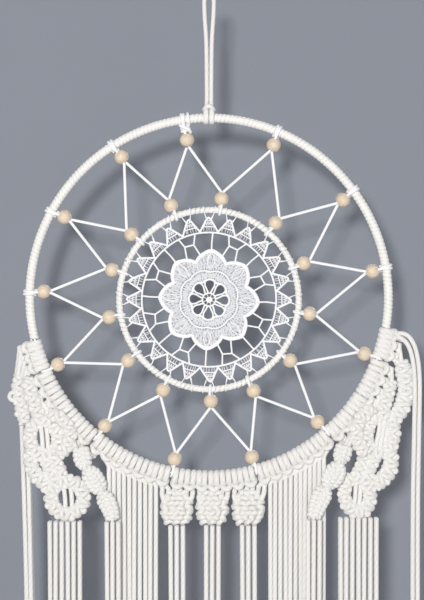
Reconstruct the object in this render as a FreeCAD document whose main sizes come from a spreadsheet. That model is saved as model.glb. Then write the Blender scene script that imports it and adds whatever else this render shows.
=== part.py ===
import FreeCAD, Part
import math
import os
import Sketcher
from FreeCAD import Placement, Rotation, Vector

# Macrame dream catcher that hangs from a nail.
# Frame: +Z up, front towards -Y, wall towards +Y.  Origin: the top of the
# hanging loop, where the nail carries it.  Millimetres throughout.

DIMENSIONS = {
    "hang_drop": 250.0,        # nail to the centre of the outer hoop
    "outer_hoop_radius": 150.0,
    "outer_wire_radius": 2.0,
    "outer_wrap_radius": 3.55,
    "wrap_start_angle": -9.6,
    "wrap_sweep_angle": 203.2,
    "inner_hoop_drop": 2.0,
    "inner_hoop_radius": 75.0,
    "inner_wire_radius": 1.5,
    "inner_wrap_radius": 2.5,
    "wrap_clearance": 0.02,
    "bead_radius": 6.0,
    "bead_bore_radius": 2.25,
    "outer_bead_circle": 138.3,
    "knotted_bead_circle": 132.8,
    "inner_bead_circle": 84.9,
    "star_cord_radius": 1.0,
    "star_cord_offset": 1.05,
    "star_knot_radius": 3.1,
    "loop_cord_radius": 2.0,
    "loop_top_radius": 4.0,
    "loop_swing_clearance": 0.35,
    "loop_side_gap": 0.2,
    "loop_knot_half_width": 4.6,
    "doily_thickness": 1.0,
    "doily_heart_radius": 24.5,
    "doily_petal_circle": 29.0,
    "doily_petal_radius": 12.5,
    "doily_bar_width": 1.2,
    "doily_ring_radius": 55.5,
    "doily_ring_width": 1.6,
    "doily_tip_radius": 69.0,
    "doily_eyelet_circle": 66.6,
    "doily_eyelet_radius": 0.9,
    "lacing_radius": 0.45,
    "lacing_turn_radius": 1.15,
    "lacing_turn_shift": 1.05,
    "knot_wrap_radius": 5.1,
    "knot_gap": 0.15,
    "star_gap": 2.36,
    "bar_reach": 9.6,
    "bar_radius": 2.6,
    "bar_forward": 3.4,
    "bar_end_gap": 0.9,
    "bridge_thickness": 3.4,
    "bridge_back": 1.2,
    "strand_radius": 1.9,
    "strand_top_gap": 1.6,
    "lead_top_gap": 2.4,
    "strand_spread": 2.1,
    "sennit_radius": 4.6,
    "leaf_radius": 5.4,
    "side_braid_radius": 4.2,
    "curved_braid_radius": 5.2,
    "eye_radius": 13.0,
    "berry_radius": 13.5,
    "berry_depth": 16.0,
    "berry_rounding": 5.5,
    "berry_drop": 177.8,
}

# Degrees from +X, counter-clockwise seen from the front; each bead's own place.
OUTER_BEAD_ANGLES = [98, 67, 36, 9, -20, -49, -75, -102, -129, -156, 178, 151, 122]
INNER_BEAD_ANGLES = [112, 83, 49, 21, -8, -37, -64, -89, -117, -143, -170, 163, 140]

doc = FreeCAD.newDocument("dream_catcher")
sheet = doc.addObject("Spreadsheet::Sheet", "Sizes")
for row, (alias, number) in enumerate(DIMENSIONS.items(), start=1):
    sheet.set(f"A{row}", alias)
    sheet.set(f"B{row}", str(number))
    sheet.setAlias(f"B{row}", alias)
doc.recompute()


def size(alias):
    """The number that the sheet holds under this alias."""
    return float(getattr(sheet, alias))


HOOP_Z = -size("hang_drop")
INNER_Z = HOOP_Z - size("inner_hoop_drop")
FACE_ON = Rotation(Vector(1, 0, 0), 90)      # turns the XY plane to face -Y
parts = []


def register(item, label):
    """Name a finished sub-part and keep it for the export."""
    item.Label = label
    parts.append(item)
    return item


def feature(label, shape):
    """A sub-part whose shape comes from Part's own functions."""
    item = doc.addObject("Part::Feature", label)
    item.Shape = shape
    item.Placement = Placement()
    return register(item, label)


def bind(item, **sizes):
    """Tie properties to the sheet."""
    for name, expression in sizes.items():
        item.setExpression(name, expression)
    return item


def radial(angle, reach, y=0.0, centre_z=HOOP_Z):
    """A point at this reach from a hoop's centre, at a depth y."""
    turn = math.radians(angle)
    return Vector(reach * math.cos(turn), y, centre_z + reach * math.sin(turn))


# ---------------------------------------------------------------- tubes

def corner_arc(before, corner, after, radius):
    """The tangent arc that rounds a corner, as its start, middle and end."""
    back = (before - corner).normalize()
    ahead = (after - corner).normalize()
    half_turn = (math.pi - back.getAngle(ahead)) / 2
    if half_turn < 1e-4:
        raise ValueError("three route points in line")
    trim = radius * math.tan(half_turn)
    inward = (back + ahead).normalize()
    middle = corner + inward * (radius / math.cos(half_turn) - radius)
    return corner + back * trim, middle, corner + ahead * trim


def soft_radius(before, corner, after):
    """As wide an arc as both runs leave room for."""
    back = before - corner
    ahead = after - corner
    half_turn = (math.pi - back.getAngle(ahead)) / 2
    return 0.45 * min(back.Length, ahead.Length) / math.tan(half_turn)


def route_wire(points, radius=None):
    """Straight runs joined by tangent arcs."""
    edges = []
    start = points[0]
    for before, corner, after in zip(points, points[1:], points[2:]):
        bend = radius or soft_radius(before, corner, after)
        arc_start, arc_middle, arc_end = corner_arc(before, corner, after, bend)
        edges.append(Part.LineSegment(start, arc_start).toShape())
        edges.append(Part.Arc(arc_start, arc_middle, arc_end).toShape())
        start = arc_end
    edges.append(Part.LineSegment(start, points[-1]).toShape())
    return Part.Wire(edges)


def sweep_round(wire, radius):
    """A round tube of this radius along a wire of tangent edges."""
    first = wire.OrderedEdges[0]
    start = first.valueAt(first.FirstParameter)
    along = first.tangentAt(first.FirstParameter)
    profile = Part.Wire([Part.makeCircle(radius, start, along)])
    tube = wire.makePipeShell([profile], True, False)
    if tube.Volume < 0:
        tube.reverse()
    expected = math.pi * radius ** 2 * wire.Length
    if abs(tube.Volume - expected) > 0.01 * expected:
        raise ValueError(f"tube volume {tube.Volume:.1f}, expected {expected:.1f}")
    return tube


def tube(points, radius, bend=None):
    """A tube along plain (x, y, z) points."""
    return sweep_round(route_wire([Vector(*p) for p in points], bend), radius)


def hoop_point(x, z, y=0.0):
    """A point given from the outer hoop's centre."""
    return (x, y, HOOP_Z + z)


def fused(shapes):
    """One solid from shapes that overlap."""
    return shapes[0].multiFuse(shapes[1:]).removeSplitter()


# ---------------------------------------------------------------- hoops

def ring_solid(name, ring_radius, section, centre_z):
    """A whole hoop of round section, standing in the XZ plane."""
    torus = doc.addObject("Part::Torus", name)
    bind(torus, Radius1=ring_radius, Radius2=section)
    torus.Placement = Placement(Vector(0, 0, centre_z), FACE_ON)
    return torus


def wrap_solid(name, ring_radius, section, core, centre_z, start=None, sweep=None):
    """The cord that is wound over a hoop, as a sleeve on its wire."""
    skin = ring_solid(name + "_skin", ring_radius, section, centre_z)
    hollow = ring_solid(name + "_hollow", ring_radius, core, centre_z)
    if sweep:
        bind(skin, Angle3=sweep)
        turned = FACE_ON.multiply(Rotation(Vector(0, 0, 1), start))
        skin.Placement = Placement(Vector(0, 0, centre_z), turned)
    sleeve = doc.addObject("Part::Cut", name)
    sleeve.Base = skin
    sleeve.Tool = hollow
    return sleeve


register(
    ring_solid("outer_hoop", "Sizes.outer_hoop_radius", "Sizes.outer_wire_radius", HOOP_Z),
    "outer_hoop",
)
register(
    wrap_solid(
        "outer_hoop_wrap",
        "Sizes.outer_hoop_radius",
        "Sizes.outer_wrap_radius",
        "Sizes.outer_wire_radius + Sizes.wrap_clearance",
        HOOP_Z,
        size("wrap_start_angle"),
        "Sizes.wrap_sweep_angle",
    ),
    "outer_hoop_wrap",
)
register(
    ring_solid("inner_hoop", "Sizes.inner_hoop_radius", "Sizes.inner_wire_radius", INNER_Z),
    "inner_hoop",
)
register(
    wrap_solid(
        "inner_hoop_wrap",
        "Sizes.inner_hoop_radius",
        "Sizes.inner_wrap_radius",
        "Sizes.inner_wire_radius + Sizes.wrap_clearance",
        INNER_Z,
    ),
    "inner_hoop_wrap",
)

# ---------------------------------------------------------------- beads


def bead(name, angle, reach, centre_z):
    """A turned wooden ball with its bore along the hoop's radius."""
    ball = doc.addObject("Part::Sphere", name + "_ball")
    bind(ball, Radius="Sizes.bead_radius")
    bore = doc.addObject("Part::Cylinder", name + "_bore")
    bind(bore, Radius="Sizes.bead_bore_radius", Height="4 * Sizes.bead_radius")
    bore.Placement = Placement(Vector(0, 0, -2 * size("bead_radius")), Rotation())
    drilled = doc.addObject("Part::Cut", name)
    drilled.Base = ball
    drilled.Tool = bore
    outward = radial(angle, 1.0, 0.0, 0.0)
    drilled.Placement = Placement(
        radial(angle, reach, 0.0, centre_z), Rotation(Vector(0, 0, 1), outward)
    )
    return register(drilled, name)


def outer_bead_reach(index):
    """The first outer bead sits lower, below the cord's finishing knot."""
    return size("knotted_bead_circle" if index == 0 else "outer_bead_circle")


for index, (outer_angle, inner_angle) in enumerate(zip(OUTER_BEAD_ANGLES, INNER_BEAD_ANGLES)):
    bead(f"outer_bead_{index + 1:02d}", outer_angle, outer_bead_reach(index), HOOP_Z)
    bead(f"inner_bead_{index + 1:02d}", inner_angle, size("inner_bead_circle"), INNER_Z)

# ---------------------------------------------------------------- star cord

INNER_MOUTH_PAD = 8.0      # from an inner bead's centre to where its two legs part
OUTER_MOUTH_PAD = 6.8      # the same for an outer bead
OUTER_TURN_GAP = 5.0       # from a hoop's wire to where the cord's two sides meet
INNER_TURN_GAP = 3.85
CORD_TOUCH = 0.03          # between the cord's turn and what it goes round
LEG_BEND = 2.0
HOOP_BEND = 1.2
KNOT_BELOW_TURN = 0.4      # between the turn and the finishing knot

# Runs of lark's heads along the outer hoop's lower arc: start and end angle and
# number of knots.  The star cord goes round the bare wire between two runs.
KNOT_RUNS = [
    (-166, -156, 3), (-156, -129, 7), (-129, -102, 7), (-102, -75, 7),
    (-75, -49, 7), (-49, -20, 8), (-20, -10, 3),
]


def hoop_turn(angle, bead_side, centre_z, hoop_radius, loop_radius, mouth, y):
    """Two points on one side of the cord's turn: where it bends out, where it touches.

    bead_side is +1 where the bead lies outside the hoop and -1 where inside.
    """
    reach = hoop_radius + bead_side * mouth
    gap = math.hypot(mouth, y)
    lean = math.atan2(abs(y), mouth)
    spread = math.acos(loop_radius / gap)
    touch = lean + spread
    across = hoop_radius + bead_side * loop_radius * math.cos(touch)
    depth = loop_radius * math.sin(touch) * math.copysign(1, y)
    return radial(angle, reach, y, centre_z), radial(angle, across, depth, centre_z)


def is_knotted(angle):
    """Whether the outer hoop carries lark's heads here, and so has no wrap."""
    return KNOT_RUNS[0][0] < angle < KNOT_RUNS[-1][1]


def star_wire():
    """The whole zigzag: through each bead, round the hoop, and back."""
    offset = size("star_cord_offset")
    radius = size("star_cord_radius")
    inner_loop = size("inner_wrap_radius") + radius + CORD_TOUCH
    straight = 2.0
    edges = []
    state = {"at": None}

    def go(point):
        edges.append(Part.LineSegment(state["at"], point).toShape())
        state["at"] = point

    def bend(before, corner, after, bend_radius):
        first, middle, last = corner_arc(before, corner, after, bend_radius)
        go(first)
        edges.append(Part.Arc(first, middle, last).toShape())
        state["at"] = last

    def round_hoop(angle, side, centre_z, hoop_radius, loop_radius, mouth, y_in):
        """From the mouth point's straight to the same place on the other side."""
        corner_in, touch_in = hoop_turn(
            angle, side, centre_z, hoop_radius, loop_radius, mouth, y_in)
        corner_out, touch_out = hoop_turn(
            angle, side, centre_z, hoop_radius, loop_radius, mouth, -y_in)
        far = radial(angle, hoop_radius - side * loop_radius, 0.0, centre_z)
        bore = hoop_radius + side * (mouth + 2 * straight)
        inside_in = radial(angle, bore, y_in, centre_z)
        inside_out = radial(angle, bore, -y_in, centre_z)
        bend(inside_in, corner_in, touch_in, HOOP_BEND)
        go(touch_in)
        edges.append(Part.Arc(touch_in, far, touch_out).toShape())
        state["at"] = touch_out
        bend(touch_out, corner_out, inside_out, HOOP_BEND)

    def outer_corner(index, y):
        reach = outer_bead_reach(index) - OUTER_MOUTH_PAD
        return radial(OUTER_BEAD_ANGLES[index], reach, y, HOOP_Z)

    def inner_corner(index, y):
        reach = size("inner_bead_circle") + INNER_MOUTH_PAD
        return radial(INNER_BEAD_ANGLES[index], reach, y, INNER_Z)

    count = len(OUTER_BEAD_ANGLES)
    hoop = size("outer_hoop_radius")
    small = size("inner_hoop_radius")
    outer_straight = hoop - OUTER_TURN_GAP - straight
    inner_straight = small + INNER_TURN_GAP + straight
    knot_reach = hoop - OUTER_TURN_GAP - size("star_knot_radius") - KNOT_BELOW_TURN
    start = radial(OUTER_BEAD_ANGLES[0], knot_reach, -offset, HOOP_Z)
    state["at"] = start
    for index in range(count):
        following = (index + 1) % count
        outer_angle = OUTER_BEAD_ANGLES[index]
        inner_angle = INNER_BEAD_ANGLES[following]
        core = size("outer_wire_radius" if is_knotted(outer_angle) else "outer_wrap_radius")
        outer_loop = core + radius + CORD_TOUCH
        round_hoop(outer_angle, -1, HOOP_Z, hoop, outer_loop, OUTER_TURN_GAP, -offset)
        leaving = radial(outer_angle, outer_straight, offset, HOOP_Z)
        bend(leaving, outer_corner(index, offset), inner_corner(following, offset), LEG_BEND)
        arriving = radial(inner_angle, inner_straight, offset, INNER_Z)
        bend(outer_corner(index, offset), inner_corner(following, offset), arriving, LEG_BEND)
        round_hoop(inner_angle, 1, INNER_Z, small, inner_loop, INNER_TURN_GAP, offset)
        back = radial(inner_angle, inner_straight, -offset, INNER_Z)
        bend(back, inner_corner(following, -offset), outer_corner(following, -offset), LEG_BEND)
        home = radial(OUTER_BEAD_ANGLES[following], outer_straight, -offset, HOOP_Z)
        bend(inner_corner(following, -offset), outer_corner(following, -offset), home, LEG_BEND)
    go(start + radial(OUTER_BEAD_ANGLES[0], -KNOT_BELOW_TURN, 0.0, 0.0))
    knot = Part.makeSphere(
        size("star_knot_radius"), radial(OUTER_BEAD_ANGLES[0], knot_reach, 0.0, HOOP_Z))
    return Part.Wire(edges), knot


zigzag, finishing_knot = star_wire()
star = sweep_round(zigzag, size("star_cord_radius"))
feature("star_cord", fused([star, finishing_knot]))
print(f"star cord length {zigzag.Length:.0f} mm")

# ---------------------------------------------------------------- doily

PETALS = 8
TEETH = 24


def origin_feature(body, role):
    """One of a body's own origin planes or axes."""
    return next(o for o in body.Origin.OriginFeatures if o.Role == role)


def face_sketch(body, name):
    """A sketch on the body's vertical XZ plane."""
    sketch = body.newObject("Sketcher::SketchObject", name)
    sketch.AttachmentSupport = [(origin_feature(body, "XZ_Plane"), "")]
    sketch.MapMode = "FlatFace"
    return sketch


def pad_of(body, sketch, name):
    """A pad of the lace's thickness, half of it on each side."""
    pad = body.newObject("PartDesign::Pad", name)
    pad.Profile = sketch
    pad.SideType = "Symmetric"
    bind(pad, Length="Sizes.doily_thickness")
    doc.recompute()
    return pad


def repeat(body, item, name, count):
    """Turn a feature about the doily's centre."""
    pattern = body.newObject("PartDesign::PolarPattern", name)
    pattern.Originals = [item]
    pattern.Axis = (origin_feature(body, "Y_Axis"), [""])
    pattern.Angle = 360
    pattern.Occurrences = count
    body.Tip = pattern
    doc.recompute()
    return pattern


def circle_of(sketch, x, y, radius, expression):
    """A circle whose radius is bound to the sheet."""
    curve = sketch.addGeometry(Part.Circle(Vector(x, y, 0), Vector(0, 0, 1), radius))
    rule = sketch.addConstraint(Sketcher.Constraint("Radius", curve, radius))
    sketch.setExpression(f"Constraints[{rule}]", expression)


def polygon_of(sketch, corners):
    """A closed outline of straight lines."""
    for here, there in zip(corners, corners[1:] + corners[:1]):
        sketch.addGeometry(Part.LineSegment(Vector(*here, 0), Vector(*there, 0)))


def bar_outline(start, end, width):
    """The four corners of a straight bar between two points."""
    along = Vector(end[0] - start[0], end[1] - start[1], 0).normalize()
    side = Vector(-along.y, along.x, 0) * (width / 2)
    corners = (Vector(*start, 0) + side, Vector(*end, 0) + side,
               Vector(*end, 0) - side, Vector(*start, 0) - side)
    return [(c.x, c.y) for c in corners]


def polar(angle_from_up, reach):
    """A sketch point, with its angle measured from straight up."""
    turn = math.radians(angle_from_up)
    return (reach * math.sin(turn), reach * math.cos(turn))


def build_doily():
    """Rosette, petals, net bars, ring and pointed edge, all one flat lace."""
    body = doc.addObject("PartDesign::Body", "lace_doily")
    heart = face_sketch(body, "heart")
    circle_of(heart, 0, 0, size("doily_heart_radius"), "Sizes.doily_heart_radius")
    pad_of(body, heart, "heart_pad")
    petal = face_sketch(body, "petal")
    circle_of(petal, 0, size("doily_petal_circle"), size("doily_petal_radius"),
              "Sizes.doily_petal_radius")
    repeat(body, pad_of(body, petal, "petal_pad"), "petals", PETALS)
    ring = face_sketch(body, "ring")
    circle_of(ring, 0, 0, size("doily_ring_radius"), "Sizes.doily_ring_radius")
    circle_of(ring, 0, 0, size("doily_ring_radius") + size("doily_ring_width"),
              "Sizes.doily_ring_radius + Sizes.doily_ring_width")
    pad_of(body, ring, "ring_pad")
    width = size("doily_bar_width")
    mid_ring = size("doily_ring_radius") + size("doily_ring_width") / 2
    overlap = 1.0
    tip_of_petal = size("doily_petal_circle") + size("doily_petal_radius") - overlap
    half_petal = 180 / PETALS
    straight = face_sketch(body, "tip_bar")
    polygon_of(straight, bar_outline(polar(0, tip_of_petal), polar(0, mid_ring), width))
    repeat(body, pad_of(body, straight, "tip_bar_pad"), "tip_bars", PETALS)
    for side, name in ((-1, "left"), (1, "right")):
        fork = face_sketch(body, f"{name}_fork")
        valley = polar(half_petal + side * 1.5, size("doily_petal_circle") + 2 * overlap)
        polygon_of(fork, bar_outline(valley, polar(half_petal + side * 9.0, mid_ring), width))
        repeat(body, pad_of(body, fork, f"{name}_fork_pad"), f"{name}_forks", PETALS)
    tooth = face_sketch(body, "tooth")
    foot = mid_ring - 0.4
    half_foot = 6.9
    half_tip = 1.8
    tip = size("doily_tip_radius")
    polygon_of(tooth, [polar(-half_foot, foot), polar(-half_tip, tip), polar(half_tip, tip),
                       polar(half_foot, foot)])
    repeat(body, pad_of(body, tooth, "tooth_pad"), "teeth", TEETH)
    eyelet = face_sketch(body, "eyelet")
    circle_of(eyelet, 0, size("doily_eyelet_circle"), size("doily_eyelet_radius"),
              "Sizes.doily_eyelet_radius")
    hole = body.newObject("PartDesign::Pocket", "eyelet_pocket")
    hole.Profile = eyelet
    hole.Type = "ThroughAll"
    hole.SideType = "Symmetric"
    doc.recompute()
    before = body.Shape.Volume
    repeat(body, hole, "eyelets", TEETH)
    if not body.Shape.Volume < before:
        raise ValueError("the eyelets cut nothing")
    body.Placement = Placement(Vector(0, 0, INNER_Z), Rotation())
    return register(body, "lace_doily")


def lacing_loop(angle):
    """One stitch: a loop of thread through an eyelet and round the inner hoop."""
    thread = size("lacing_radius")
    big = size("inner_wrap_radius") + thread + CORD_TOUCH
    little = size("lacing_turn_radius")
    far = size("inner_hoop_radius")
    near = size("doily_eyelet_circle") + size("lacing_turn_shift")
    lean = math.asin((big - little) / (far - near))

    def at(reach, y):
        return radial(angle, reach, y, INNER_Z)

    def touch(centre, loop, sign):
        return at(centre - loop * math.sin(lean), sign * loop * math.cos(lean))

    wire = Part.Wire([
        Part.LineSegment(touch(near, little, -1), touch(far, big, -1)).toShape(),
        Part.Arc(touch(far, big, -1), at(far + big, 0), touch(far, big, 1)).toShape(),
        Part.LineSegment(touch(far, big, 1), touch(near, little, 1)).toShape(),
        Part.Arc(touch(near, little, 1), at(near - little, 0), touch(near, little, -1)).toShape(),
    ])
    return sweep_round(wire, thread)


build_doily()
stitches = [lacing_loop(90 + 360 / TEETH * step) for step in range(TEETH)]
feature("doily_lacing", Part.makeCompound(stitches))

# ---------------------------------------------------------------- hanging loop


def hanging_loop():
    """A doubled cord over the nail, with a lark's head round the hoop's top."""
    cord = size("loop_cord_radius")
    top = size("loop_top_radius")
    side = cord + size("loop_side_gap")
    hoop_top = HOOP_Z + size("outer_hoop_radius")
    crown = -(top - cord)
    foot = crown - cord
    taper = Part.Wire([
        Part.LineSegment(Vector(-top, 0, foot), Vector(-top, 0, crown)).toShape(),
        Part.Arc(Vector(-top, 0, crown), Vector(0, 0, crown + top), Vector(top, 0, crown)).toShape(),
        Part.LineSegment(Vector(top, 0, crown), Vector(top, 0, foot)).toShape(),
    ])
    pieces = [sweep_round(taper, cord)]
    for sign in (-1, 1):
        route = [(sign * top, 0, crown - cord / 2), (sign * top, 0, crown - 3 * top),
                 (sign * side, 0, crown - 8.5 * top), (sign * side, 0, hoop_top + 5.0)]
        pieces.append(tube(route, cord))
    inner = size("outer_wrap_radius") + size("loop_swing_clearance")
    outer = inner + 1.8 * cord
    width = size("loop_knot_half_width")
    collar = Part.makeCylinder(outer, 2 * width, Vector(-width, 0, hoop_top), Vector(1, 0, 0))
    bar_rise = 1.3 * cord
    bar = Part.makeCylinder(1.15 * cord, 2 * width, Vector(-width, 0.3 * cord - outer,
                            hoop_top + bar_rise), Vector(1, 0, 0))
    room = Part.makeCylinder(inner, 4 * width, Vector(-2 * width, 0, hoop_top), Vector(1, 0, 0))
    return fused(pieces + [collar, bar]).cut(room)


feature("hanging_loop", hanging_loop())

# ---------------------------------------------------------------- knots on the hoop

def knot_places():
    """Centre angle and arc of every lark's head, from the left end to the right."""
    clear = math.degrees(size("star_gap") / 2 / size("outer_hoop_radius"))
    places = []
    for start, end, count in KNOT_RUNS:
        first = start + (0 if start == KNOT_RUNS[0][0] else clear)
        last = end - (0 if end == KNOT_RUNS[-1][1] else clear)
        step = (last - first) / count
        places += [(first + step * (number + 0.5), step) for number in range(count)]
    return places


KNOT_PLACES = knot_places()


def larks_head(angle, step):
    """One reverse lark's head: wrapped round the wire, its bar in front and outside."""
    hoop = size("outer_hoop_radius")
    room = size("outer_wire_radius") + size("wrap_clearance")
    arc = step - math.degrees(size("knot_gap") / hoop)
    width = hoop * math.radians(arc) - size("bar_end_gap")
    skin = Part.makeTorus(hoop, size("knot_wrap_radius"), Vector(0, 0, 0), Vector(0, 0, 1),
                          -180, 180, arc)
    hollow = Part.makeTorus(hoop, room)
    skin.rotate(Vector(0, 0, 0), Vector(0, 0, 1), -arc / 2)
    turned = Placement(Vector(0, 0, 0), FACE_ON)
    skin.Placement = turned.multiply(skin.Placement)
    hollow.Placement = turned
    reach = hoop + size("bar_reach")
    forward = -size("bar_forward")
    bar = Part.makeCylinder(size("bar_radius"), width, Vector(reach, forward, -width / 2),
                            Vector(0, 0, 1))
    bridge = Part.makeBox(size("bar_reach"), size("bridge_thickness"), width,
                          Vector(hoop, forward - size("bridge_back"), -width / 2))
    knot = fused([skin, bar, bridge]).cut(hollow)
    knot.rotate(Vector(0, 0, 0), Vector(0, -1, 0), angle)
    knot.translate(Vector(0, 0, HOOP_Z))
    return knot


feature("ring_knots", Part.makeCompound([larks_head(*place) for place in KNOT_PLACES]))

# ---------------------------------------------------------------- hanging macrame

STRAND = size("strand_radius")
STRAND_Y = -1.0
KNOT_FOOT = size("bar_reach") + size("bar_radius")

# How far each strand of a group leans forward or back, at half length and at the end.
LEAN = [(0.3, 0.5), (-0.2, 0.1), (0.4, -0.3), (-0.3, -0.5), (0.1, 0.4)]
bend_radii = []


def from_knot(index):
    """Just outside a knot's bar, from the hoop's centre, where a braid's lead starts."""
    turn = math.radians(KNOT_PLACES[index][0])
    reach = size("outer_hoop_radius") + KNOT_FOOT + size("lead_top_gap")
    return reach * math.cos(turn), reach * math.sin(turn)


def fringe_end(x):
    """The fringe is cut to a shallow point, lowest at the middle."""
    return -440.0 + 0.45 * abs(x)


def strand(number, x, z, y, sway):
    """A free strand from (x, z) down to the cut edge, nearly straight under its weight.

    sway is how far the whole group drifts sideways at half length and at the end.
    """
    mid_lean, end_lean = LEAN[number % len(LEAN)]
    bottom = fringe_end(x)
    middle = 0.48 * z + 0.52 * bottom
    points = [hoop_point(x, z, y), hoop_point(x + sway[0], middle, y + mid_lean),
              hoop_point(x + sway[1], bottom, y + end_lean)]
    bend_radii.append(soft_radius(*[Vector(*p) for p in points]))
    return tube(points, STRAND)


def spread(low, high, count):
    """Evenly spaced places from low to high."""
    return [low + (high - low) * place / (count - 1) for place in range(count)]


def spaced(middle, step, count):
    """Evenly spaced places about a middle."""
    half = step * (count - 1) / 2
    return spread(middle - half, middle + half, count)


def strands_from_knots(first, last, sway):
    """Two strands from each knot of this stretch, hanging straight down."""
    reach = size("outer_hoop_radius") + KNOT_FOOT + size("strand_top_gap")
    ends = [size("outer_hoop_radius") * math.cos(math.radians(KNOT_PLACES[index][0]))
            for index in (first, last)]
    margin = size("strand_spread")
    places = spread(ends[0] - margin, ends[1] + margin, 2 * (last - first + 1))
    return [strand(number, x, -math.sqrt(reach ** 2 - x ** 2), STRAND_Y, sway)
            for number, x in enumerate(places)]


def bundle(xs, z, rows, sway):
    """Strands that leave a knot side by side, in rows behind each other."""
    spots = [(x, y) for y in rows for x in xs]
    return [strand(number, x, z, y, sway) for number, (x, y) in enumerate(spots)]


def braid(points, knots=(), y=STRAND_Y, radius=None):
    """A braid of square knots as a plain tube through (x, z) points.

    Its cords come down from these knots of the hoop.
    """
    route = [hoop_point(x, z, y) for x, z in points]
    pieces = [tube(route, radius or size("sennit_radius"))]
    for index in knots:
        x, z = from_knot(index)
        target = Vector(*route[0]) + (Vector(*route[1]) - Vector(*route[0])) * 0.25
        pieces.append(tube([hoop_point(x, z, STRAND_Y), tuple(target)], STRAND))
    return fused(pieces) if knots else pieces[0]


def double_braid(points, aside):
    """Two slim braids side by side, the second this far beside and above the first."""
    radius = size("side_braid_radius")
    beside = [(x + aside[0], z + aside[1]) for x, z in points]
    return fused([braid(points, radius=radius), braid(beside, radius=radius)])


def eye(name, x, z, knots=()):
    """A ring of square knots with two filler cords across its opening."""
    outline = doc.addObject("Part::Torus", name + "_outline")
    bind(outline, Radius1="Sizes.eye_radius", Radius2="Sizes.sennit_radius")
    outline.Placement = Placement(Vector(*hoop_point(x, z, STRAND_Y)), FACE_ON)
    pieces = [outline]
    for side in (-1, 1):
        filler = doc.addObject("Part::Cylinder", f"{name}_filler_{'right' if side > 0 else 'left'}")
        bind(filler, Radius="Sizes.strand_radius", Height="2 * Sizes.eye_radius - 2")
        foot = hoop_point(x + side * 2.5, z - size("eye_radius") + 1.0, STRAND_Y)
        filler.Placement = Placement(Vector(*foot), Rotation())
        pieces.append(filler)
    centre = Vector(*hoop_point(x, z, STRAND_Y))
    for index in knots:
        start = Vector(*hoop_point(*from_knot(index), STRAND_Y))
        end = centre + (start - centre).normalize() * size("eye_radius")
        lead = doc.addObject("Part::Feature", f"{name}_lead_{index}")
        lead.Shape = tube([tuple(start), tuple(end)], STRAND)
        pieces.append(lead)
    joined = doc.addObject("Part::MultiFuse", name)
    joined.Shapes = pieces
    return register(joined, name)


# Left flank: two braids from the hoop, two eyes, and the diagonal braids between.
OUTER_Y = 6.0
feature("left_outer_sennit",
        braid([(-162.6, -54), (-163.2, -72), (-160.5, -90), (-157.0, -104)], (0, 1), OUTER_Y))
feature("left_chain_sennits", Part.makeCompound([
    braid([(-153.0, -72), (-149.8, -84), (-145.4, -95), (-142.4, -103.0)], (2, 3)),
    braid([(-150.0, -130.4), (-148.5, -143), (-140.5, -153.5), (-132.5, -160.0)]),
    double_braid([(-137.4, -135.4), (-133.6, -144), (-128.8, -153.6)], (7.4, 2.2)),
]))
eye("left_upper_eye", -139.4, -120.4, (4, 5, 6, 7))
eye("left_lower_eye", -120.5, -168.6)
feature("left_side_fringe", Part.makeCompound(
    bundle(spaced(-155.2, 4.6, 2), -106.2, (OUTER_Y - 0.1, OUTER_Y + 4.6), (4.6, 5.0))
    + bundle(spaced(-120.5, 5.0, 6), -187.6, (-3.6, 1.6), (0.6, -0.5))))

# Left leaf: a twisted braid in front of four plain strands.
LEAF_Y = -10.0
LEAF_ROWS = (-13.0, -7.8)
feature("left_leaf_knots", braid(
    [(-107.8, -126), (-105.2, -136.5), (-98.2, -148.8), (-90.4, -161.5), (-83.4, -174), (-80, -184)],
    (8, 9, 10), LEAF_Y, size("leaf_radius")))
feature("left_leaf_fringe", Part.makeCompound(
    strands_from_knots(11, 12, (0.4, 0.1))
    + bundle(spaced(-80.0, 4.8, 3), -186.6, LEAF_ROWS, (0.5, 0.8))))

feature("left_straight_fringe", Part.makeCompound(strands_from_knots(13, 15, (-0.3, 0.2))))


def berry(name, x):
    """A round berry knot: a thick disc with well-rounded rims."""
    disc = doc.addObject("Part::Cylinder", name + "_disc")
    bind(disc, Radius="Sizes.berry_radius", Height="Sizes.berry_depth")
    front = STRAND_Y + size("berry_depth") / 2
    disc.Placement = Placement(Vector(*hoop_point(x, -size("berry_drop"), front)), FACE_ON)
    doc.recompute()
    rims = [number for number, edge in enumerate(disc.Shape.Edges, start=1)
            if isinstance(edge.Curve, Part.Circle)]
    rounded = doc.addObject("Part::Fillet", name)
    rounded.Base = disc
    rounded.Edges = [(number, size("berry_rounding"), size("berry_rounding")) for number in rims]
    return register(rounded, name)


for name, x, sway in (("left", -27.0, (0.5, 0.3)), ("centre", 2.8, (-0.4, -0.6)),
                      ("right", 32.8, (0.3, 0.7))):
    berry(f"berry_{name}", x)
    foot = -size("berry_drop") - size("berry_radius")
    feature(f"berry_{name}_fringe", Part.makeCompound(
        bundle(spaced(x, 5.2, 3), foot, (STRAND_Y - 2.4, STRAND_Y + 2.4), sway)))

feature("right_straight_fringe", Part.makeCompound(strands_from_knots(25, 27, (-0.4, -0.1))))

# Right leaf: the other's mirror image, in front of six plain strands.
feature("right_leaf_knots", braid(
    [(113.2, -124.2), (110.2, -134), (105.4, -145.5), (97.8, -158.2), (91.4, -170.5), (87, -182.5)],
    (32, 33), LEAF_Y, size("leaf_radius")))
feature("right_leaf_fringe", Part.makeCompound(
    strands_from_knots(28, 30, (-0.4, -0.1))
    + bundle(spaced(87.0, 4.8, 3), -185.2, LEAF_ROWS, (-0.5, -0.9))))

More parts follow.
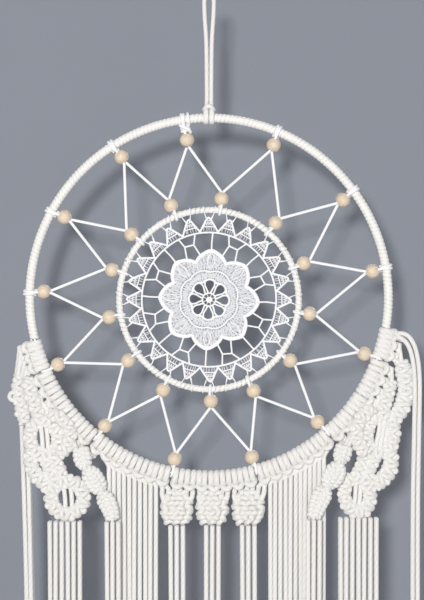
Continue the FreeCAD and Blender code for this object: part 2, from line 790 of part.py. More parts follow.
# Right flank: outer braid, side braid, two eyes, a C-shaped braid and two long strands.
feature("right_outer_sennit",
        braid([(164.8, -53), (166.0, -68), (164.0, -83), (157.6, -97), (150.6, -103.5)],
              (39, 40)))
feature("right_chain_sennits", Part.makeCompound([
    braid([(152.6, -72), (149.8, -82), (147.0, -91), (145.4, -99.5)], (37, 38)),
    braid([(150.8, -128.0), (152.4, -138), (148.6, -148.5), (139.0, -156.8)],
          radius=size("curved_braid_radius")),
    double_braid([(133.6, -129.0), (128.4, -139.5), (123.6, -150.0)], (7.4, -2.2)),
]))
eye("right_upper_eye", 143.6, -116.4, (34, 35, 36))
eye("right_lower_eye", 124.8, -165.6)
LONG_STRANDS = [
    [(161.6, -30, -8.2), (169.2, -42, -7.6), (172.0, -66, -6.2), (172.6, -104, -3.0),
     (173.2, -190, -1.0), (173.0, -352, -0.6)],
    [(163.4, -24, -8.2), (173.2, -37, -7.8), (176.8, -62, -6.2), (177.4, -102, -3.0),
     (178.2, -196, -1.0), (177.8, -364, -0.4)],
]


def long_strand(route):
    """A strand that leaves the hoop sideways and then hangs beside it."""
    points = [hoop_point(x, z, y) for x, z, y in route]
    for before, corner, after in zip(points, points[1:], points[2:]):
        bend_radii.append(soft_radius(Vector(*before), Vector(*corner), Vector(*after)))
    return tube(points, STRAND)


feature("right_side_fringe", Part.makeCompound(
    [long_strand(route) for route in LONG_STRANDS]
    + bundle(spaced(124.8, 5.0, 7), -184.6, (-3.6, 1.6), (-0.5, 0.4))))

# ---------------------------------------------------------------- checks and export

doc.recompute()
print("strand bend radii from %.0f to %.0f mm" % (min(bend_radii), max(bend_radii)))
for item in doc.Objects:
    if "Invalid" in item.State or "Error" in item.State:
        raise RuntimeError(f"{item.Name} failed: {item.State}")
for item in parts:
    if item.Shape.isNull() or not item.Shape.isValid():
        raise RuntimeError(f"{item.Label} has no valid shape")
os.makedirs("parts", exist_ok=True)
for item in parts:
    item.Shape.exportStep(os.path.join("parts", item.Label + ".step"))
print(len(parts), "nodes,", sum(len(item.Shape.Solids) for item in parts), "solids")
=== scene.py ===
import math

import bpy
import numpy as np
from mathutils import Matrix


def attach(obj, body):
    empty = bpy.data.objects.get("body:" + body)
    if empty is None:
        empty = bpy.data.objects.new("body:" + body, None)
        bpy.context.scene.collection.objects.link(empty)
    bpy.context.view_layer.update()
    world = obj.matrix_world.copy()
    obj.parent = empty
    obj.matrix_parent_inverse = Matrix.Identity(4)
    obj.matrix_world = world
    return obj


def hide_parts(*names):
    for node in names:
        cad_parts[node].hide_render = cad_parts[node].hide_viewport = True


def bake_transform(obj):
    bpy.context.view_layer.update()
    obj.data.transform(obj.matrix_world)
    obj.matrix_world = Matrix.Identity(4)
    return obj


# Looks of the macrame dream catcher.  Lengths in the tables and functions are
# millimetres in the CAD's own frame; MM turns them into metres.

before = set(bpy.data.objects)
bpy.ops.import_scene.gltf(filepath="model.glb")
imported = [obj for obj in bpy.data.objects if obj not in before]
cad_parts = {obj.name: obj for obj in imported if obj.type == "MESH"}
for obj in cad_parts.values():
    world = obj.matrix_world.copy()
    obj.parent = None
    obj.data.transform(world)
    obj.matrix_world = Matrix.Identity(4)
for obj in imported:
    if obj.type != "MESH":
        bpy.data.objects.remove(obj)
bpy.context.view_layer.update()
MM = 0.001
FRONT = np.array([0.0, -1.0, 0.0])
HOOP = np.array([0.0, 0.0, -250.0])
INNER = np.array([0.0, 0.0, -252.0])
HOOP_R = 150.0
INNER_R = 75.0
CORD_R = 1.9
MAX_CORDS = 40
SCENE = bpy.context.scene
rng = np.random.default_rng(11)


def add(name, data):
    """A new object in the scene."""
    item = bpy.data.objects.new(name, data)
    SCENE.collection.objects.link(item)
    return item


# --- camera

camera = add("camera", bpy.data.cameras.new("camera"))
camera.data.lens = 100.0
camera.data.sensor_width = 36.0
camera.data.clip_start = 0.01
camera.location = (0.0025, -1.394, -0.2523)
camera.rotation_euler = (math.radians(90), 0.0, 0.0)
SCENE.camera = camera

# --- lines


def unit(v):
    return v / np.linalg.norm(v, axis=-1, keepdims=True)


def run_of(line):
    """Distance along a line, point by point."""
    return np.r_[0.0, np.cumsum(np.linalg.norm(np.diff(line, axis=0), axis=1))]


def even(line, step):
    """The same line with points at an even step."""
    run = run_of(line)
    return sampled(np.linspace(0, run[-1], max(3, int(round(run[-1] / step)) + 1)), run, line)


def through(points, step=1.2):
    """A smooth line through points, at an even step."""
    p = np.array(points, float)
    p = np.vstack([2 * p[0] - p[1], p, 2 * p[-1] - p[-2]])
    t = np.linspace(0, 1, 9)[:-1, None]
    parts = [
        0.5 * (2 * b + (c - a) * t + (2 * a - 5 * b + 4 * c - d) * t ** 2
               + (3 * b - 3 * c + d - a) * t ** 3)
        for a, b, c, d in zip(p, p[1:], p[2:], p[3:])
    ]
    return even(np.vstack(parts + [p[-2:-1]]), step)


def at(x, z, y=0.0):
    """A point given from the outer hoop's centre."""
    return HOOP + np.array([x, y, z])


def radial(angle, reach, y=0.0, centre=HOOP):
    """A point at this reach from a hoop's centre."""
    turn = math.radians(angle)
    return centre + np.array([reach * math.cos(turn), y, reach * math.sin(turn)])


def sides_of(tangents):
    """Sideways and forward directions along a line, from its tangents."""
    ahead = unit(FRONT - tangents * (tangents @ FRONT)[:, None])
    return np.cross(tangents, ahead), ahead


def sampled(where, run, line):
    """Points of a line at these distances along it."""
    return np.stack([np.interp(where, run, line[:, k]) for k in range(3)], axis=1)


def carried_normals(tangents):
    """Normals carried along a line without twist."""
    normal = unit(np.cross(tangents[0], [0.31, 0.9, 0.23]))
    out = [normal]
    for tangent in tangents[1:]:
        normal = unit(normal - tangent * normal.dot(tangent))
        out.append(normal)
    return np.array(out)


def hung_line(points, step=1.6):
    """A free cord's line: the NURBS spline with these points, as the curve object gives it."""
    data = bpy.data.curves.new("route", "CURVE")
    data.dimensions = "3D"
    data.resolution_u = 24
    spline = data.splines.new("NURBS")
    spline.points.add(len(points) - 1)
    for knot, point in zip(spline.points, points):
        knot.co = (*[float(c) for c in point], 1.0)
    spline.order_u = 3
    spline.use_endpoint_u = True
    item = bpy.data.objects.new("route", data)
    mesh = bpy.data.meshes.new_from_object(item)
    line = np.empty(len(mesh.vertices) * 3)
    mesh.vertices.foreach_get("co", line)
    bpy.data.meshes.remove(mesh)
    bpy.data.objects.remove(item)
    bpy.data.curves.remove(data)
    return even(line.reshape(-1, 3), step)


# --- meshes


class Weave:
    """Cords and threads swept along lines and gathered into one mesh."""

    def __init__(self):
        self.points, self.loops, self.totals, self.uvs = [], [], [], []
        self.count = 0

    def rings(self, rings, turns):
        """A closed-ended tube from rings of points."""
        n, sides = rings.shape[:2]
        base = self.count
        self.points.append(rings.reshape(-1, 3))
        self.count += n * sides
        i = np.arange(n - 1)[:, None]
        j = np.arange(sides)[None, :]
        k = (j + 1) % sides
        quads = np.stack(np.broadcast_arrays(
            i * sides + j, i * sides + k, (i + 1) * sides + k, (i + 1) * sides + j), axis=-1)
        self.loops.append((quads + base).ravel())
        self.totals.append(np.full((n - 1) * sides, 4))
        low, high = turns[:-1][:, None] + 0 * j, turns[1:][:, None] + 0 * j
        near, far = j / sides + 0 * i, (j + 1) / sides + 0 * i
        uv = np.stack([low, near, low, far, high, far, high, near], axis=-1)
        self.uvs.append(uv.reshape(-1, 2))
        first = np.arange(sides)
        self.loops.append(first[::-1] + base)
        self.loops.append(first + base + (n - 1) * sides)
        self.totals.append(np.full(2, sides))
        around = first / sides
        self.uvs.append(np.stack([np.full(sides, turns[0]), around[::-1]], axis=-1))
        self.uvs.append(np.stack([np.full(sides, turns[-1]), around], axis=-1))

    def cord(self, line, radius=CORD_R, pitch=20.0, lobes=3, depth=0.045, sides=12,
             up=None, thin=1.0, wide=1.0):
        """A twisted cord along a line; thin and wide flatten it along and across up."""
        tangents = unit(np.gradient(line, axis=0))
        if up is None:
            normals = carried_normals(tangents)
        else:
            normals = unit(up - tangents * np.sum(up * tangents, axis=1)[:, None])
        across = np.cross(tangents, normals)
        turns = run_of(line) / pitch
        phi = np.arange(sides) * 2 * math.pi / sides
        radius = np.broadcast_to(radius, len(line))[:, None]
        ply = np.abs(np.cos(lobes / 2 * (phi[None, :] - 2 * math.pi * turns[:, None])))
        swell = radius * (1 - depth * (1 - ply))
        thin = np.broadcast_to(thin, len(line))[:, None]
        wide = np.broadcast_to(wide, len(line))[:, None]
        rings = (line[:, None, :]
                 + (swell * np.cos(phi) * thin)[..., None] * normals[:, None, :]
                 + (swell * np.sin(phi) * wide)[..., None] * across[:, None, :])
        lip = 0.35 * radius[0] * tangents[0], 0.35 * radius[-1] * tangents[-1]
        first = line[0] + (rings[0] - line[0]) * 0.6 - lip[0]
        last = line[-1] + (rings[-1] - line[-1]) * 0.6 + lip[1]
        rings = np.concatenate([first[None], rings, last[None]])
        self.rings(rings, np.r_[turns[0] - 0.02, turns, turns[-1] + 0.02])

    def thread(self, points, radius, step=0.8, smooth=True, sides=6):
        """A fine thread of the lace."""
        line = through(points, step) if smooth else even(np.array(points, float), step)
        self.cord(line, radius, 2.2, 2, 0.1, sides, up=np.broadcast_to(FRONT, line.shape))

    def make(self, name, material, slot):
        """The gathered mesh as an object."""
        mesh = bpy.data.meshes.new(name)
        co = np.vstack(self.points) * MM
        loops = np.concatenate(self.loops)
        totals = np.concatenate(self.totals)
        mesh.vertices.add(len(co))
        mesh.vertices.foreach_set("co", co.ravel())
        mesh.loops.add(len(loops))
        mesh.loops.foreach_set("vertex_index", loops.astype(np.int32))
        mesh.polygons.add(len(totals))
        starts = np.r_[0, np.cumsum(totals)[:-1]]
        mesh.polygons.foreach_set("loop_start", starts.astype(np.int32))
        mesh.update(calc_edges=True)
        mesh.shade_smooth()
        layer = mesh.uv_layers.new(name="cord")
        layer.data.foreach_set("uv", np.vstack(self.uvs).ravel())
        mesh.materials.append(material)
        item = add(name, mesh)
        return item


# --- materials


class Nodes:
    """A short way to write a node tree."""

    def __init__(self, name):
        self.material = bpy.data.materials.new(name)
        self.material.use_nodes = True
        self.tree = self.material.node_tree
        self.shader = self.tree.nodes["Principled BSDF"]

    def feed(self, value, socket):
        """Give a socket a number or a colour, or link it to another socket."""
        if isinstance(value, bpy.types.NodeSocket):
            self.tree.links.new(value, socket)
        else:
            socket.default_value = (*value, 1.0) if isinstance(value, tuple) else value

    def node(self, kind, inputs=None, **settings):
        made = self.tree.nodes.new(kind)
        for key, value in settings.items():
            setattr(made, key, value)
        for socket, value in (inputs or {}).items():
            self.feed(value, made.inputs[socket])
        return made

    def math(self, operation, a, b=0.0):
        return self.node("ShaderNodeMath", {0: a, 1: b}, operation=operation).outputs[0]

    def times(self, a, b):
        return self.math("MULTIPLY", a, b)

    def plus(self, a, b):
        return self.math("ADD", a, b)

    def mix(self, factor, low, high):
        return self.node("ShaderNodeMix", {0: factor, 6: low, 7: high},
                         data_type="RGBA").outputs[2]

    def ramp(self, value, low, high):
        return self.node("ShaderNodeMapRange", {0: value, 1: low, 2: high},
                         interpolation_type="SMOOTHSTEP").outputs[0]

    def noise(self, vector, scale, detail=3.0):
        return self.node("ShaderNodeTexNoise", {"Vector": vector, "Scale": scale,
                                                "Detail": detail}).outputs["Fac"]

    def combine(self, x, y, z):
        return self.node("ShaderNodeCombineXYZ", {0: x, 1: y, 2: z}).outputs[0]

    def split(self, vector):
        return self.node("ShaderNodeSeparateXYZ", {0: vector}).outputs

    def bump(self, height, strength, distance):
        made = self.node("ShaderNodeBump", {"Strength": strength, "Distance": distance,
                                            "Height": height})
        self.feed(made.outputs["Normal"], self.shader.inputs["Normal"])

    def surface(self, **values):
        for key, value in values.items():
            self.feed(value, self.shader.inputs[key.replace("_", " ")])
        return self.material


def cotton(name, light, groove_shade, patchy, plies=3.0, fibre_scale=2.6):
    """Twisted cotton: plies and fibres follow the cord's own UV map; the grooves between the plies
    get painted shade.
    """
    n = Nodes(name)
    along, around, _ = n.split(n.node("ShaderNodeUVMap", uv_map="cord").outputs[0])
    phase = n.times(n.math("SUBTRACT", around, along), plies)
    ply = n.math("ABSOLUTE", n.math("COSINE", n.times(phase, math.pi)))
    turn = n.times(around, 2 * math.pi)
    fibres = n.noise(n.combine(n.times(n.math("COSINE", turn), 3.0),
                               n.times(n.math("SINE", turn), 3.0),
                               n.times(along, 5.0)), fibre_scale)
    place = n.node("ShaderNodeTexCoord").outputs["Object"]
    patches = n.noise(place, 45.0, 2.0)
    fluff = n.noise(place, 1500.0, 2.0)
    groove_bump_and_shade = n.ramp(ply, 0.0, 0.6)
    # Painted shade: the grooves between the plies blend to the darker second colour.
    base = n.mix(groove_bump_and_shade, groove_shade, light)
    base = n.mix(n.times(n.ramp(fibres, 0.35, 0.75), 0.5), base, tuple(0.93 * c for c in light))
    base = n.mix(n.times(n.ramp(patches, 0.4, 0.7), patchy), base, (0.78, 0.72, 0.64))
    height = n.plus(n.times(fibres, 0.5), n.times(fluff, 0.4))
    n.bump(n.plus(height, n.times(groove_bump_and_shade, 0.5)), 0.55, 0.0003)
    return n.surface(Base_Color=base, Roughness=n.plus(n.times(fibres, 0.2), 0.72),
                     Sheen_Weight=0.25, Sheen_Roughness=0.6, Specular_IOR_Level=0.2)


def wood(name):
    """Pale turned wood with grain along the bead's bore."""
    n = Nodes(name)
    x, y, z = n.split(n.node("ShaderNodeAttribute", attribute_name="grain").outputs["Vector"])
    stretched = n.combine(x, y, n.times(z, 0.12))
    warp = n.noise(stretched, 0.32, 2.0)
    rings = n.math("SINE", n.plus(n.times(x, 2.2), n.times(warp, 16.0)))
    pores = n.noise(stretched, 4.0, 4.0)
    base = n.mix(n.ramp(rings, -1.0, 1.0), (0.75, 0.635, 0.50), (0.69, 0.56, 0.42))
    base = n.mix(n.times(n.ramp(pores, 0.45, 0.75), 0.5), base, (0.60, 0.46, 0.32))
    n.bump(pores, 0.25, 0.0002)
    return n.surface(Base_Color=base, Roughness=n.plus(n.times(pores, 0.25), 0.38),
                     Coat_Weight=0.12, Coat_Roughness=0.35)


def steel(name):
    """Drawn wire under the windings."""
    n = Nodes(name)
    spots = n.noise(n.node("ShaderNodeTexCoord").outputs["Object"], 700.0, 4.0)
    base = n.mix(n.ramp(spots, 0.3, 0.7), (0.62, 0.61, 0.59), (0.50, 0.49, 0.48))
    n.bump(spots, 0.1, 0.0001)
    return n.surface(Base_Color=base, Roughness=n.plus(n.times(spots, 0.3), 0.22), Metallic=1.0)


def plaster(name, low, high, see_through=False):
    """Matt wall or floor paint; a see-through wall shows from its front only."""
    n = Nodes(name)
    place = n.node("ShaderNodeTexCoord").outputs["Object"]
    n.bump(n.noise(place, 500.0, 2.0), 0.1, 0.0003)
    if see_through:
        behind = n.node("ShaderNodeNewGeometry").outputs["Backfacing"]
        n.surface(Alpha=n.math("SUBTRACT", 1.0, behind))
    return n.surface(Base_Color=n.mix(n.noise(place, 1.5), low, high), Roughness=0.9,
                     Specular_IOR_Level=0.2)


# The second colour of each cotton is the painted shade in the grooves between its plies.
COTTON = cotton("macrame_cotton", (0.80, 0.785, 0.765), (0.71, 0.695, 0.675), 0.12)
WRAPPING = cotton("wrapping_cotton", (0.86, 0.845, 0.82), (0.80, 0.78, 0.75), 0.08)
WHITE = cotton("white_cord", (0.93, 0.93, 0.94), (0.74, 0.74, 0.77), 0.02)
LACE = cotton("lace_thread", (0.93, 0.93, 0.94), (0.78, 0.78, 0.80), 0.02, 2.0, 2.0)
# The fill stitches are the same thread as the lace outlines, painted greyer: painted shade among
# the fine stitches.
FILLING_PAINTED_SHADE = cotton("lace_filling_painted_shade", (0.80, 0.80, 0.83), (0.60, 0.61, 0.65), 0.0, 2.0, 2.0)
# The sheer lace ground is painted dark grey: painted shade for the shaded wall seen through it.
GROUND_PAINTED_SHADE = cotton("lace_ground_painted_shade", (0.36, 0.38, 0.43), (0.28, 0.30, 0.34), 0.0, 2.0, 2.0)
WOOD = wood("bead_wood")
STEEL = steel("hoop_steel")

# --- which body a piece rides on

BLENDS = {
    "left_side": ((-0.134, 0, -0.330), (-0.186, 0, -0.366)),
    "right_side": ((0.140, 0, -0.322), (0.194, 0, -0.356)),
    "left_leaf": ((-0.098, 0, -0.378), (-0.118, 0, -0.422)),
    "right_leaf": ((0.102, 0, -0.374), (0.124, 0, -0.420)),
}


def follow(item, body, node):
    """Take a node's place: ride on its body; a group hanging from the hoop's slope is only baked
    in place.
    """
    if body in BLENDS:
        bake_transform(item)
    else:
        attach(item, body)
    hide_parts(node)


def finish_piece(weave, name, body, node, material=COTTON, slot="macrame_cotton"):
    """The gathered mesh as a piece that rides on a body in a node's stead."""
    item = weave.make(name, material, slot)
    follow(item, body, node)
    return item


# --- knots on the hoop

KNOT_RUNS = [
    (-166, -156, 3), (-156, -129, 7), (-129, -102, 7), (-102, -75, 7),
    (-75, -49, 7), (-49, -20, 8), (-20, -10, 3),
]
STAR_GAP = 2.36
STRAND_Y = -1.0
TOP_REACH = HOOP_R + 9.6 + 2.6 + 1.6
SPREAD = 2.1


def knot_places():
    """Centre angle and arc of every lark's head, from the left end to the right."""
    clear = math.degrees(STAR_GAP / 2 / HOOP_R)
    places = []
    for start, end, count in KNOT_RUNS:
        first = start + (0 if start == KNOT_RUNS[0][0] else clear)
        last = end - (0 if end == KNOT_RUNS[-1][1] else clear)
        step = (last - first) / count
        places += [(first + step * (number + 0.5), step) for number in range(count)]
    return places


KNOT_PLACES = knot_places()


def strand_tops(first, last):
    """Where the strands of a stretch of knots start: evenly spaced below the bars."""
    ends = [HOOP_R * math.cos(math.radians(KNOT_PLACES[index][0])) for index in (first, last)]
    xs = np.linspace(ends[0] - SPREAD, ends[1] + SPREAD, 2 * (last - first + 1))
    return [(x, -math.sqrt(TOP_REACH ** 2 - x ** 2)) for x in xs]


STRAIGHT_RUNS = [(11, 12), (13, 15), (16, 18), (19, 21), (22, 24), (25, 27), (28, 30)]


def knot_feet():
    """Both strand starts of every knot, as (x, z) from the hoop's centre."""
    feet = {}
    for index, (angle, _) in enumerate(KNOT_PLACES):
        turn = math.radians(angle)
        out = np.array([math.cos(turn), math.sin(turn)])
        side = np.array([-out[1], out[0]])
        feet[index] = [tuple(out * TOP_REACH + side * s * SPREAD) for s in (-1, 1)]
    for first, last in STRAIGHT_RUNS:
        tops = strand_tops(first, last)
        for index in range(first, last + 1):
            feet[index] = tops[2 * (index - first):2 * (index - first) + 2]
    return feet


KNOT_FEET = knot_feet()


def larks_head(weave, centre, angle, hoop_radius, room, half, bar, cord, feet, foot_y,
               flatten=0.16):
    """One cord tied round a hoop: both wraps over its front and under the bar of its fold."""
    turn = math.radians(angle)
    out = np.array([math.cos(turn), 0.0, math.sin(turn)])
    side = np.array([-math.sin(turn), 0.0, math.cos(turn)])
    middle = centre + out * hoop_radius
    lap = room + cord * (1 - flatten)
    reach, forward = bar
    jitter = rng.normal(0, 0.12, 24)

    def spot(s, r, f):
        return middle + side * s + out * r + FRONT * f

    def half_knot(sign, foot, wobble):
        w = half + wobble[0]
        return [
            np.array([foot[0], foot_y, foot[1]]) - np.array([0, 0, 1.4]),
            np.array([foot[0], foot_y, foot[1]]),
            spot(sign * (w - 0.25), reach - 0.4, -0.3 + wobble[1]),
            spot(sign * w, lap + 1.0, lap - 0.9),
            spot(sign * w, 1.6, lap + 0.25),
            spot(sign * w, -lap * 0.75, lap * 0.75),
            spot(sign * w, -lap, -0.6),
            spot(sign * w, -lap * 0.5, -lap * 0.9),
            spot(sign * w, lap * 0.45, -lap * 0.9),
            spot(sign * (w + 0.6), lap + 0.9, -lap * 0.55),
            spot(sign * (w + 1.3), reach - 1.7, 0.8),
            spot(sign * (w + 0.6), reach - 0.5 + 2.5 * wobble[2], forward - 0.2),
        ]

    left = half_knot(-1, feet[0], jitter[:4])
    right = half_knot(1, feet[1], jitter[4:8])
    bow = [spot(0.0, reach + 1.0 + 2 * jitter[8], forward + 0.9 + jitter[9])]
    line = through(left + bow + right[::-1], 1.1)
    offset = line - middle
    up = offset - side * (offset @ side)[:, None]
    run = np.linalg.norm(up, axis=1)
    near = np.clip((reach + 1.0 - run) / 3.0, 0, 1)
    front_bar = np.clip((offset @ FRONT - 1.0) / 2.5, 0, 1) * (1 - near)
    weave.cord(line, cord * (1 + 0.2 * front_bar), up=up, thin=1 - flatten * near,
               wide=1 + 0.2 * near)


ring_weave = Weave()
for index, (angle, step) in enumerate(KNOT_PLACES):
    feet = [(x, HOOP[2] + z) for x, z in KNOT_FEET[index]]
    half_step = HOOP_R * math.radians(step) / 4
    larks_head(ring_weave, HOOP, angle, HOOP_R, 2.0, half_step, (9.6, 3.2), 2.02, feet, STRAND_Y)
finish_piece(ring_weave, "ring_knots_cords", "hoop", "ring_knots")

# --- braids


def coil(weave, line, rho, pitch, thick, half_width, phase, hand):
    """A flattened cord wound round a line."""
    run = run_of(line)
    turns = max(2, int(round(run[-1] / pitch)))
    t = np.linspace(0, run[-1], turns * 12 + 1)
    core = sampled(t, run, line)
    sideways, ahead = sides_of(unit(np.gradient(core, axis=0)))
    theta = hand * (2 * math.pi * turns * t / run[-1] + phase)
    up = sideways * np.cos(theta)[:, None] + ahead * np.sin(theta)[:, None]
    weave.cord(core + up * rho, half_width, 9.0, up=up, thin=thick / half_width, sides=8)


ENDS = ([0, 0.1, 0.9, 1], [0.72, 1, 1, 0.72])
KNOT_PITCH = 4.7
FORWARD, BACK = 3.0, 1.4


def sennit(weave, guide, half=4.6, cord=2.15, fillers=1.6, closed=False):
    """Square knots along a guide: one working cord always in front, the other behind."""
    run = run_of(guide)
    knots = max(2, int(round(run[-1] / KNOT_PITCH)))
    if closed and knots % 2:
        knots += 1
    s = np.linspace(0, knots + (0.3 if closed else 0), knots * 11 + 1)
    where = (s / knots * run[-1]) % run[-1] if closed else s / knots * run[-1]
    spine = sampled(where, run, guide)
    slopes = np.stack([np.gradient(guide[:, k], run) for k in range(3)], axis=1)
    tangents = unit(sampled(where, run, slopes))
    sideways, ahead = sides_of(tangents)
    taper = np.ones(len(s)) if closed else np.interp(s / knots, *ENDS)
    wave = np.cos(math.pi * s)
    lift = np.sin(math.pi * s) ** 2
    uneven = np.interp(s, np.arange(knots + 2), rng.normal(0, 1, (2, knots + 2))[0])
    bumpy = np.interp(s, np.arange(knots + 2), rng.normal(0, 1, (2, knots + 2))[1])
    for sign in (-1, 1):
        x = sign * half * taper * (1 + 0.07 * uneven) * wave
        y = -sign * (BACK - (FORWARD + BACK) * lift) + 0.25 * bumpy
        sag = 0.35 * bumpy * lift
        line = spine + sideways * x[:, None] + ahead * y[:, None] + tangents * sag[:, None]
        weave.cord(line, cord, sides=10)
    for sign in (-1, 1):
        weave.cord(spine + sideways * fillers * sign, cord, sides=10)


def lead(weave, start, end, bow=(0, 0, 0), cord=CORD_R, dive=3.0):
    """A cord that comes down from a knot on the hoop and enters a braid."""
    start, end, bow = np.array(start), np.array(end), np.array(bow)
    down = start + unit(end - start) * dive + np.array([0, 0, -dive * 0.4])
    weave.cord(through([start + [0, 0, 1.0], down, (start + end) / 2 + bow, end]), cord)


def lead_all(weave, knots, target, spread_to):
    """Both cords of each knot run to a braid's start, side by side."""
    feet = [at(x, z, STRAND_Y) for index in knots for x, z in KNOT_FEET[index]]
    offsets = np.linspace(-spread_to, spread_to, len(feet))
    for number, (foot, offset) in enumerate(zip(feet, offsets)):
        depth = 1.2 * (-1) ** number
        lead(weave, foot, target + [offset, depth, 0], (0, depth * 0.5, 0))


def eye(weave, x, z, half_x, half_z, tilt, half, strands):
    """A ring of square knots round an opening that filler cords cross."""
    turn = np.linspace(0, 2 * math.pi, 97)
    lean = math.radians(tilt)
    a, b = half_x * np.sin(turn), half_z * np.cos(turn)
    guide = at(x, z, STRAND_Y) + np.stack(
        [a * math.cos(lean) - b * math.sin(lean), 0 * turn,
         a * math.sin(lean) + b * math.cos(lean)], axis=1)
    sennit(weave, guide, half, fillers=1.3, closed=True)
    for top, foot, y in strands:
        ends = [at(x + top, z + half_z - 1, y), at(x + (top + foot) / 2 + 0.5, z, y + 0.3),
                at(x + foot, z - half_z + 1, y)]
        weave.cord(through(ends))


LEAF_COLUMNS = (-1.0, -0.34, 0.34, 1.0)
HITCH_REACH, HITCH_PITCH = 2.1, 3.7


def leaf(weave, guide, breadth, necks):
    """A twisted strap of half hitches: broad lobes that turn over at each neck between them."""
    run = run_of(guide)
    t = run / run[-1]
    sideways, ahead = sides_of(unit(np.gradient(guide, axis=0)))
    belly = breadth * np.sin(math.pi * np.clip(t * 0.8 + 0.14, 0, 1)) ** 0.5
    turned = 0 * t
    for neck in necks:
        belly = belly * (1 - 0.62 * np.exp(-((t - neck) / 0.07) ** 2))
        turned = turned + math.pi / (1 + np.exp(-(t - neck) / 0.022))
    across = sideways * np.cos(turned)[:, None] + ahead * np.sin(turned)[:, None]
    for number, column in enumerate(LEAF_COLUMNS):
        bulge = (1 - abs(column)) * 1.5
        line = guide + across * (column * belly)[:, None] + ahead * bulge
        weave.cord(line, 1.5, sides=8)
        coil(weave, line, HITCH_REACH, HITCH_PITCH, 1.15, 2.0, number * 1.3,
             1 if column <= 0 else -1)


# --- free strands

LEAN = [(0.3, 0.5), (-0.2, 0.1), (0.4, -0.3), (-0.3, -0.5), (0.1, 0.4)]
DRIFT = [(0.5, 0.9), (-0.4, -0.2), (0.1, -0.7), (0.4, 0.3), (-0.5, 0.6), (0.2, -0.9), (-0.1, 0.4)]
declared = []


def fringe_end(x):
    """The fringe is cut to a shallow point, lowest at the middle."""
    return -440.0 + 0.45 * abs(x)


def strand_route(number, x, z, y, sway):
    """The points of a strand: top, half length and cut end."""
    mid_lean, end_lean = LEAN[number % len(LEAN)]
    mid_drift, end_drift = DRIFT[number % len(DRIFT)]
    bottom = fringe_end(x)
    middle = 0.48 * z + 0.52 * bottom
    return [at(x, z, y), at(x + sway[0] + mid_drift, middle, y + mid_lean),
            at(x + sway[1] + end_drift, bottom, y + end_lean)]


def frayed(line, radius=CORD_R):
    """The cord opens a little over its last few millimetres."""
    left = run_of(line)[-1] - run_of(line)
    return radius * (1 + 0.22 * np.clip(1 - left / 9.0, 0, 1) ** 2)


def hang(name, routes, free, body=None):
    """Free strands of one group; the first ones are pieces of their own, the rest one mesh."""
    body, node = body or name, f"{name}_fringe"
    rest = Weave()
    for number, route in enumerate(routes):
        line = hung_line(route)
        weave = Weave() if number < free and len(declared) < MAX_CORDS else rest
        weave.cord(line, frayed(line), sides=14)
        if weave is rest:
            continue
        item = weave.make(f"{name}_strand_{number + 1:02d}", COTTON, "macrame_cotton")
        follow(item, body, node)
        declared.append(item)
    if rest.count:
        finish_piece(rest, f"{name}_strands", body, node)


def from_knots(first, last, sway):
    """Strands that hang straight from the knots of one stretch."""
    return [strand_route(number, x, z, STRAND_Y, sway)
            for number, (x, z) in enumerate(strand_tops(first, last))]


def bundle(middle, step, count, z, rows, sway):
    """Strands that hang side by side, in rows, below a braid."""
    half = step * (count - 1) / 2
    spots = [(x, y) for y in rows for x in np.linspace(middle - half, middle + half, count)]
    return [strand_route(number, x, z, y, sway) for number, (x, y) in enumerate(spots)]


BERRIES = [("left", -27.0, (0.5, 0.3), 16), ("centre", 2.8, (-0.4, -0.6), 19),
           ("right", 32.8, (0.3, 0.7), 22)]
BERRY_DROP = 177.8
BERRY_R = 13.5
OUTER_Y = 6.0
LEAF_Y = -10.0
LEAF_ROWS = (-13.0, -7.8)
LONG_STRANDS = [
    [(156.6, -33.2, -5.6), (162.0, -34.0, -7.8), (168.6, -45, -7.4), (171.6, -67, -6.6),
     (171.4, -102, -4.0), (169.8, -190, -1.0), (170.4, -352, -0.6)],
    [(157.2, -30.2, -5.6), (163.6, -29.0, -8.0), (172.0, -40, -7.4), (175.8, -64, -6.6),
     (175.4, -102, -4.0), (174.0, -196, -1.0), (174.8, -364, -0.4)],
]
LEFT_STRANDS = bundle(-155.2, 4.6, 2, -106.2, (OUTER_Y - 0.1, OUTER_Y + 4.6), (4.6, 5.0))

hang("left_side", LEFT_STRANDS[:2] + bundle(-120.5, 5.0, 6, -187.6, (-3.6, 1.6), (0.6, -0.5))
     + LEFT_STRANDS[2:], 8)
hang("left_leaf", from_knots(11, 12, (0.4, 0.1))
     + bundle(-80.0, 4.8, 3, -186.6, LEAF_ROWS, (0.5, 0.8)), 4)
hang("left_straight", from_knots(13, 15, (-0.3, 0.2)), 6)
for name, x, sway, _ in BERRIES:
    hang(f"berry_{name}", bundle(x, 5.2, 3, -BERRY_DROP - BERRY_R,
                                 (STRAND_Y - 2.4, STRAND_Y + 2.4), sway),
         3, f"berry_{name}_tassel")
hang("right_straight", from_knots(25, 27, (-0.4, -0.1)), 6)
hang("right_leaf", from_knots(28, 30, (-0.4, -0.1))
     + bundle(87.0, 4.8, 3, -185.2, LEAF_ROWS, (-0.5, -0.9)), 4)
hang("right_side", [[at(x, z, y) for x, z, y in route] for route in LONG_STRANDS]
     + bundle(124.8, 5.0, 7, -184.6, (-3.6, 1.6), (-0.5, 0.4)), 3)

# --- braided flanks


def guide(points, y=STRAND_Y):
    """A braid's middle line, from (x, z) points."""
    return through([at(x, z, y) for x, z in points], 0.8)


def lead_pairs(weave, knots, aims, side):
    """Both cords of each knot run to a place of their own on an eye."""
    for index, aim in zip(knots, aims):
        for number, (x, z) in enumerate(KNOT_FEET[index][::side]):
            lead(weave, at(x, z, STRAND_Y),
                 at(aim[0] + 2 * side * number, aim[1] - number, -2.5 + number), cord=2.0)


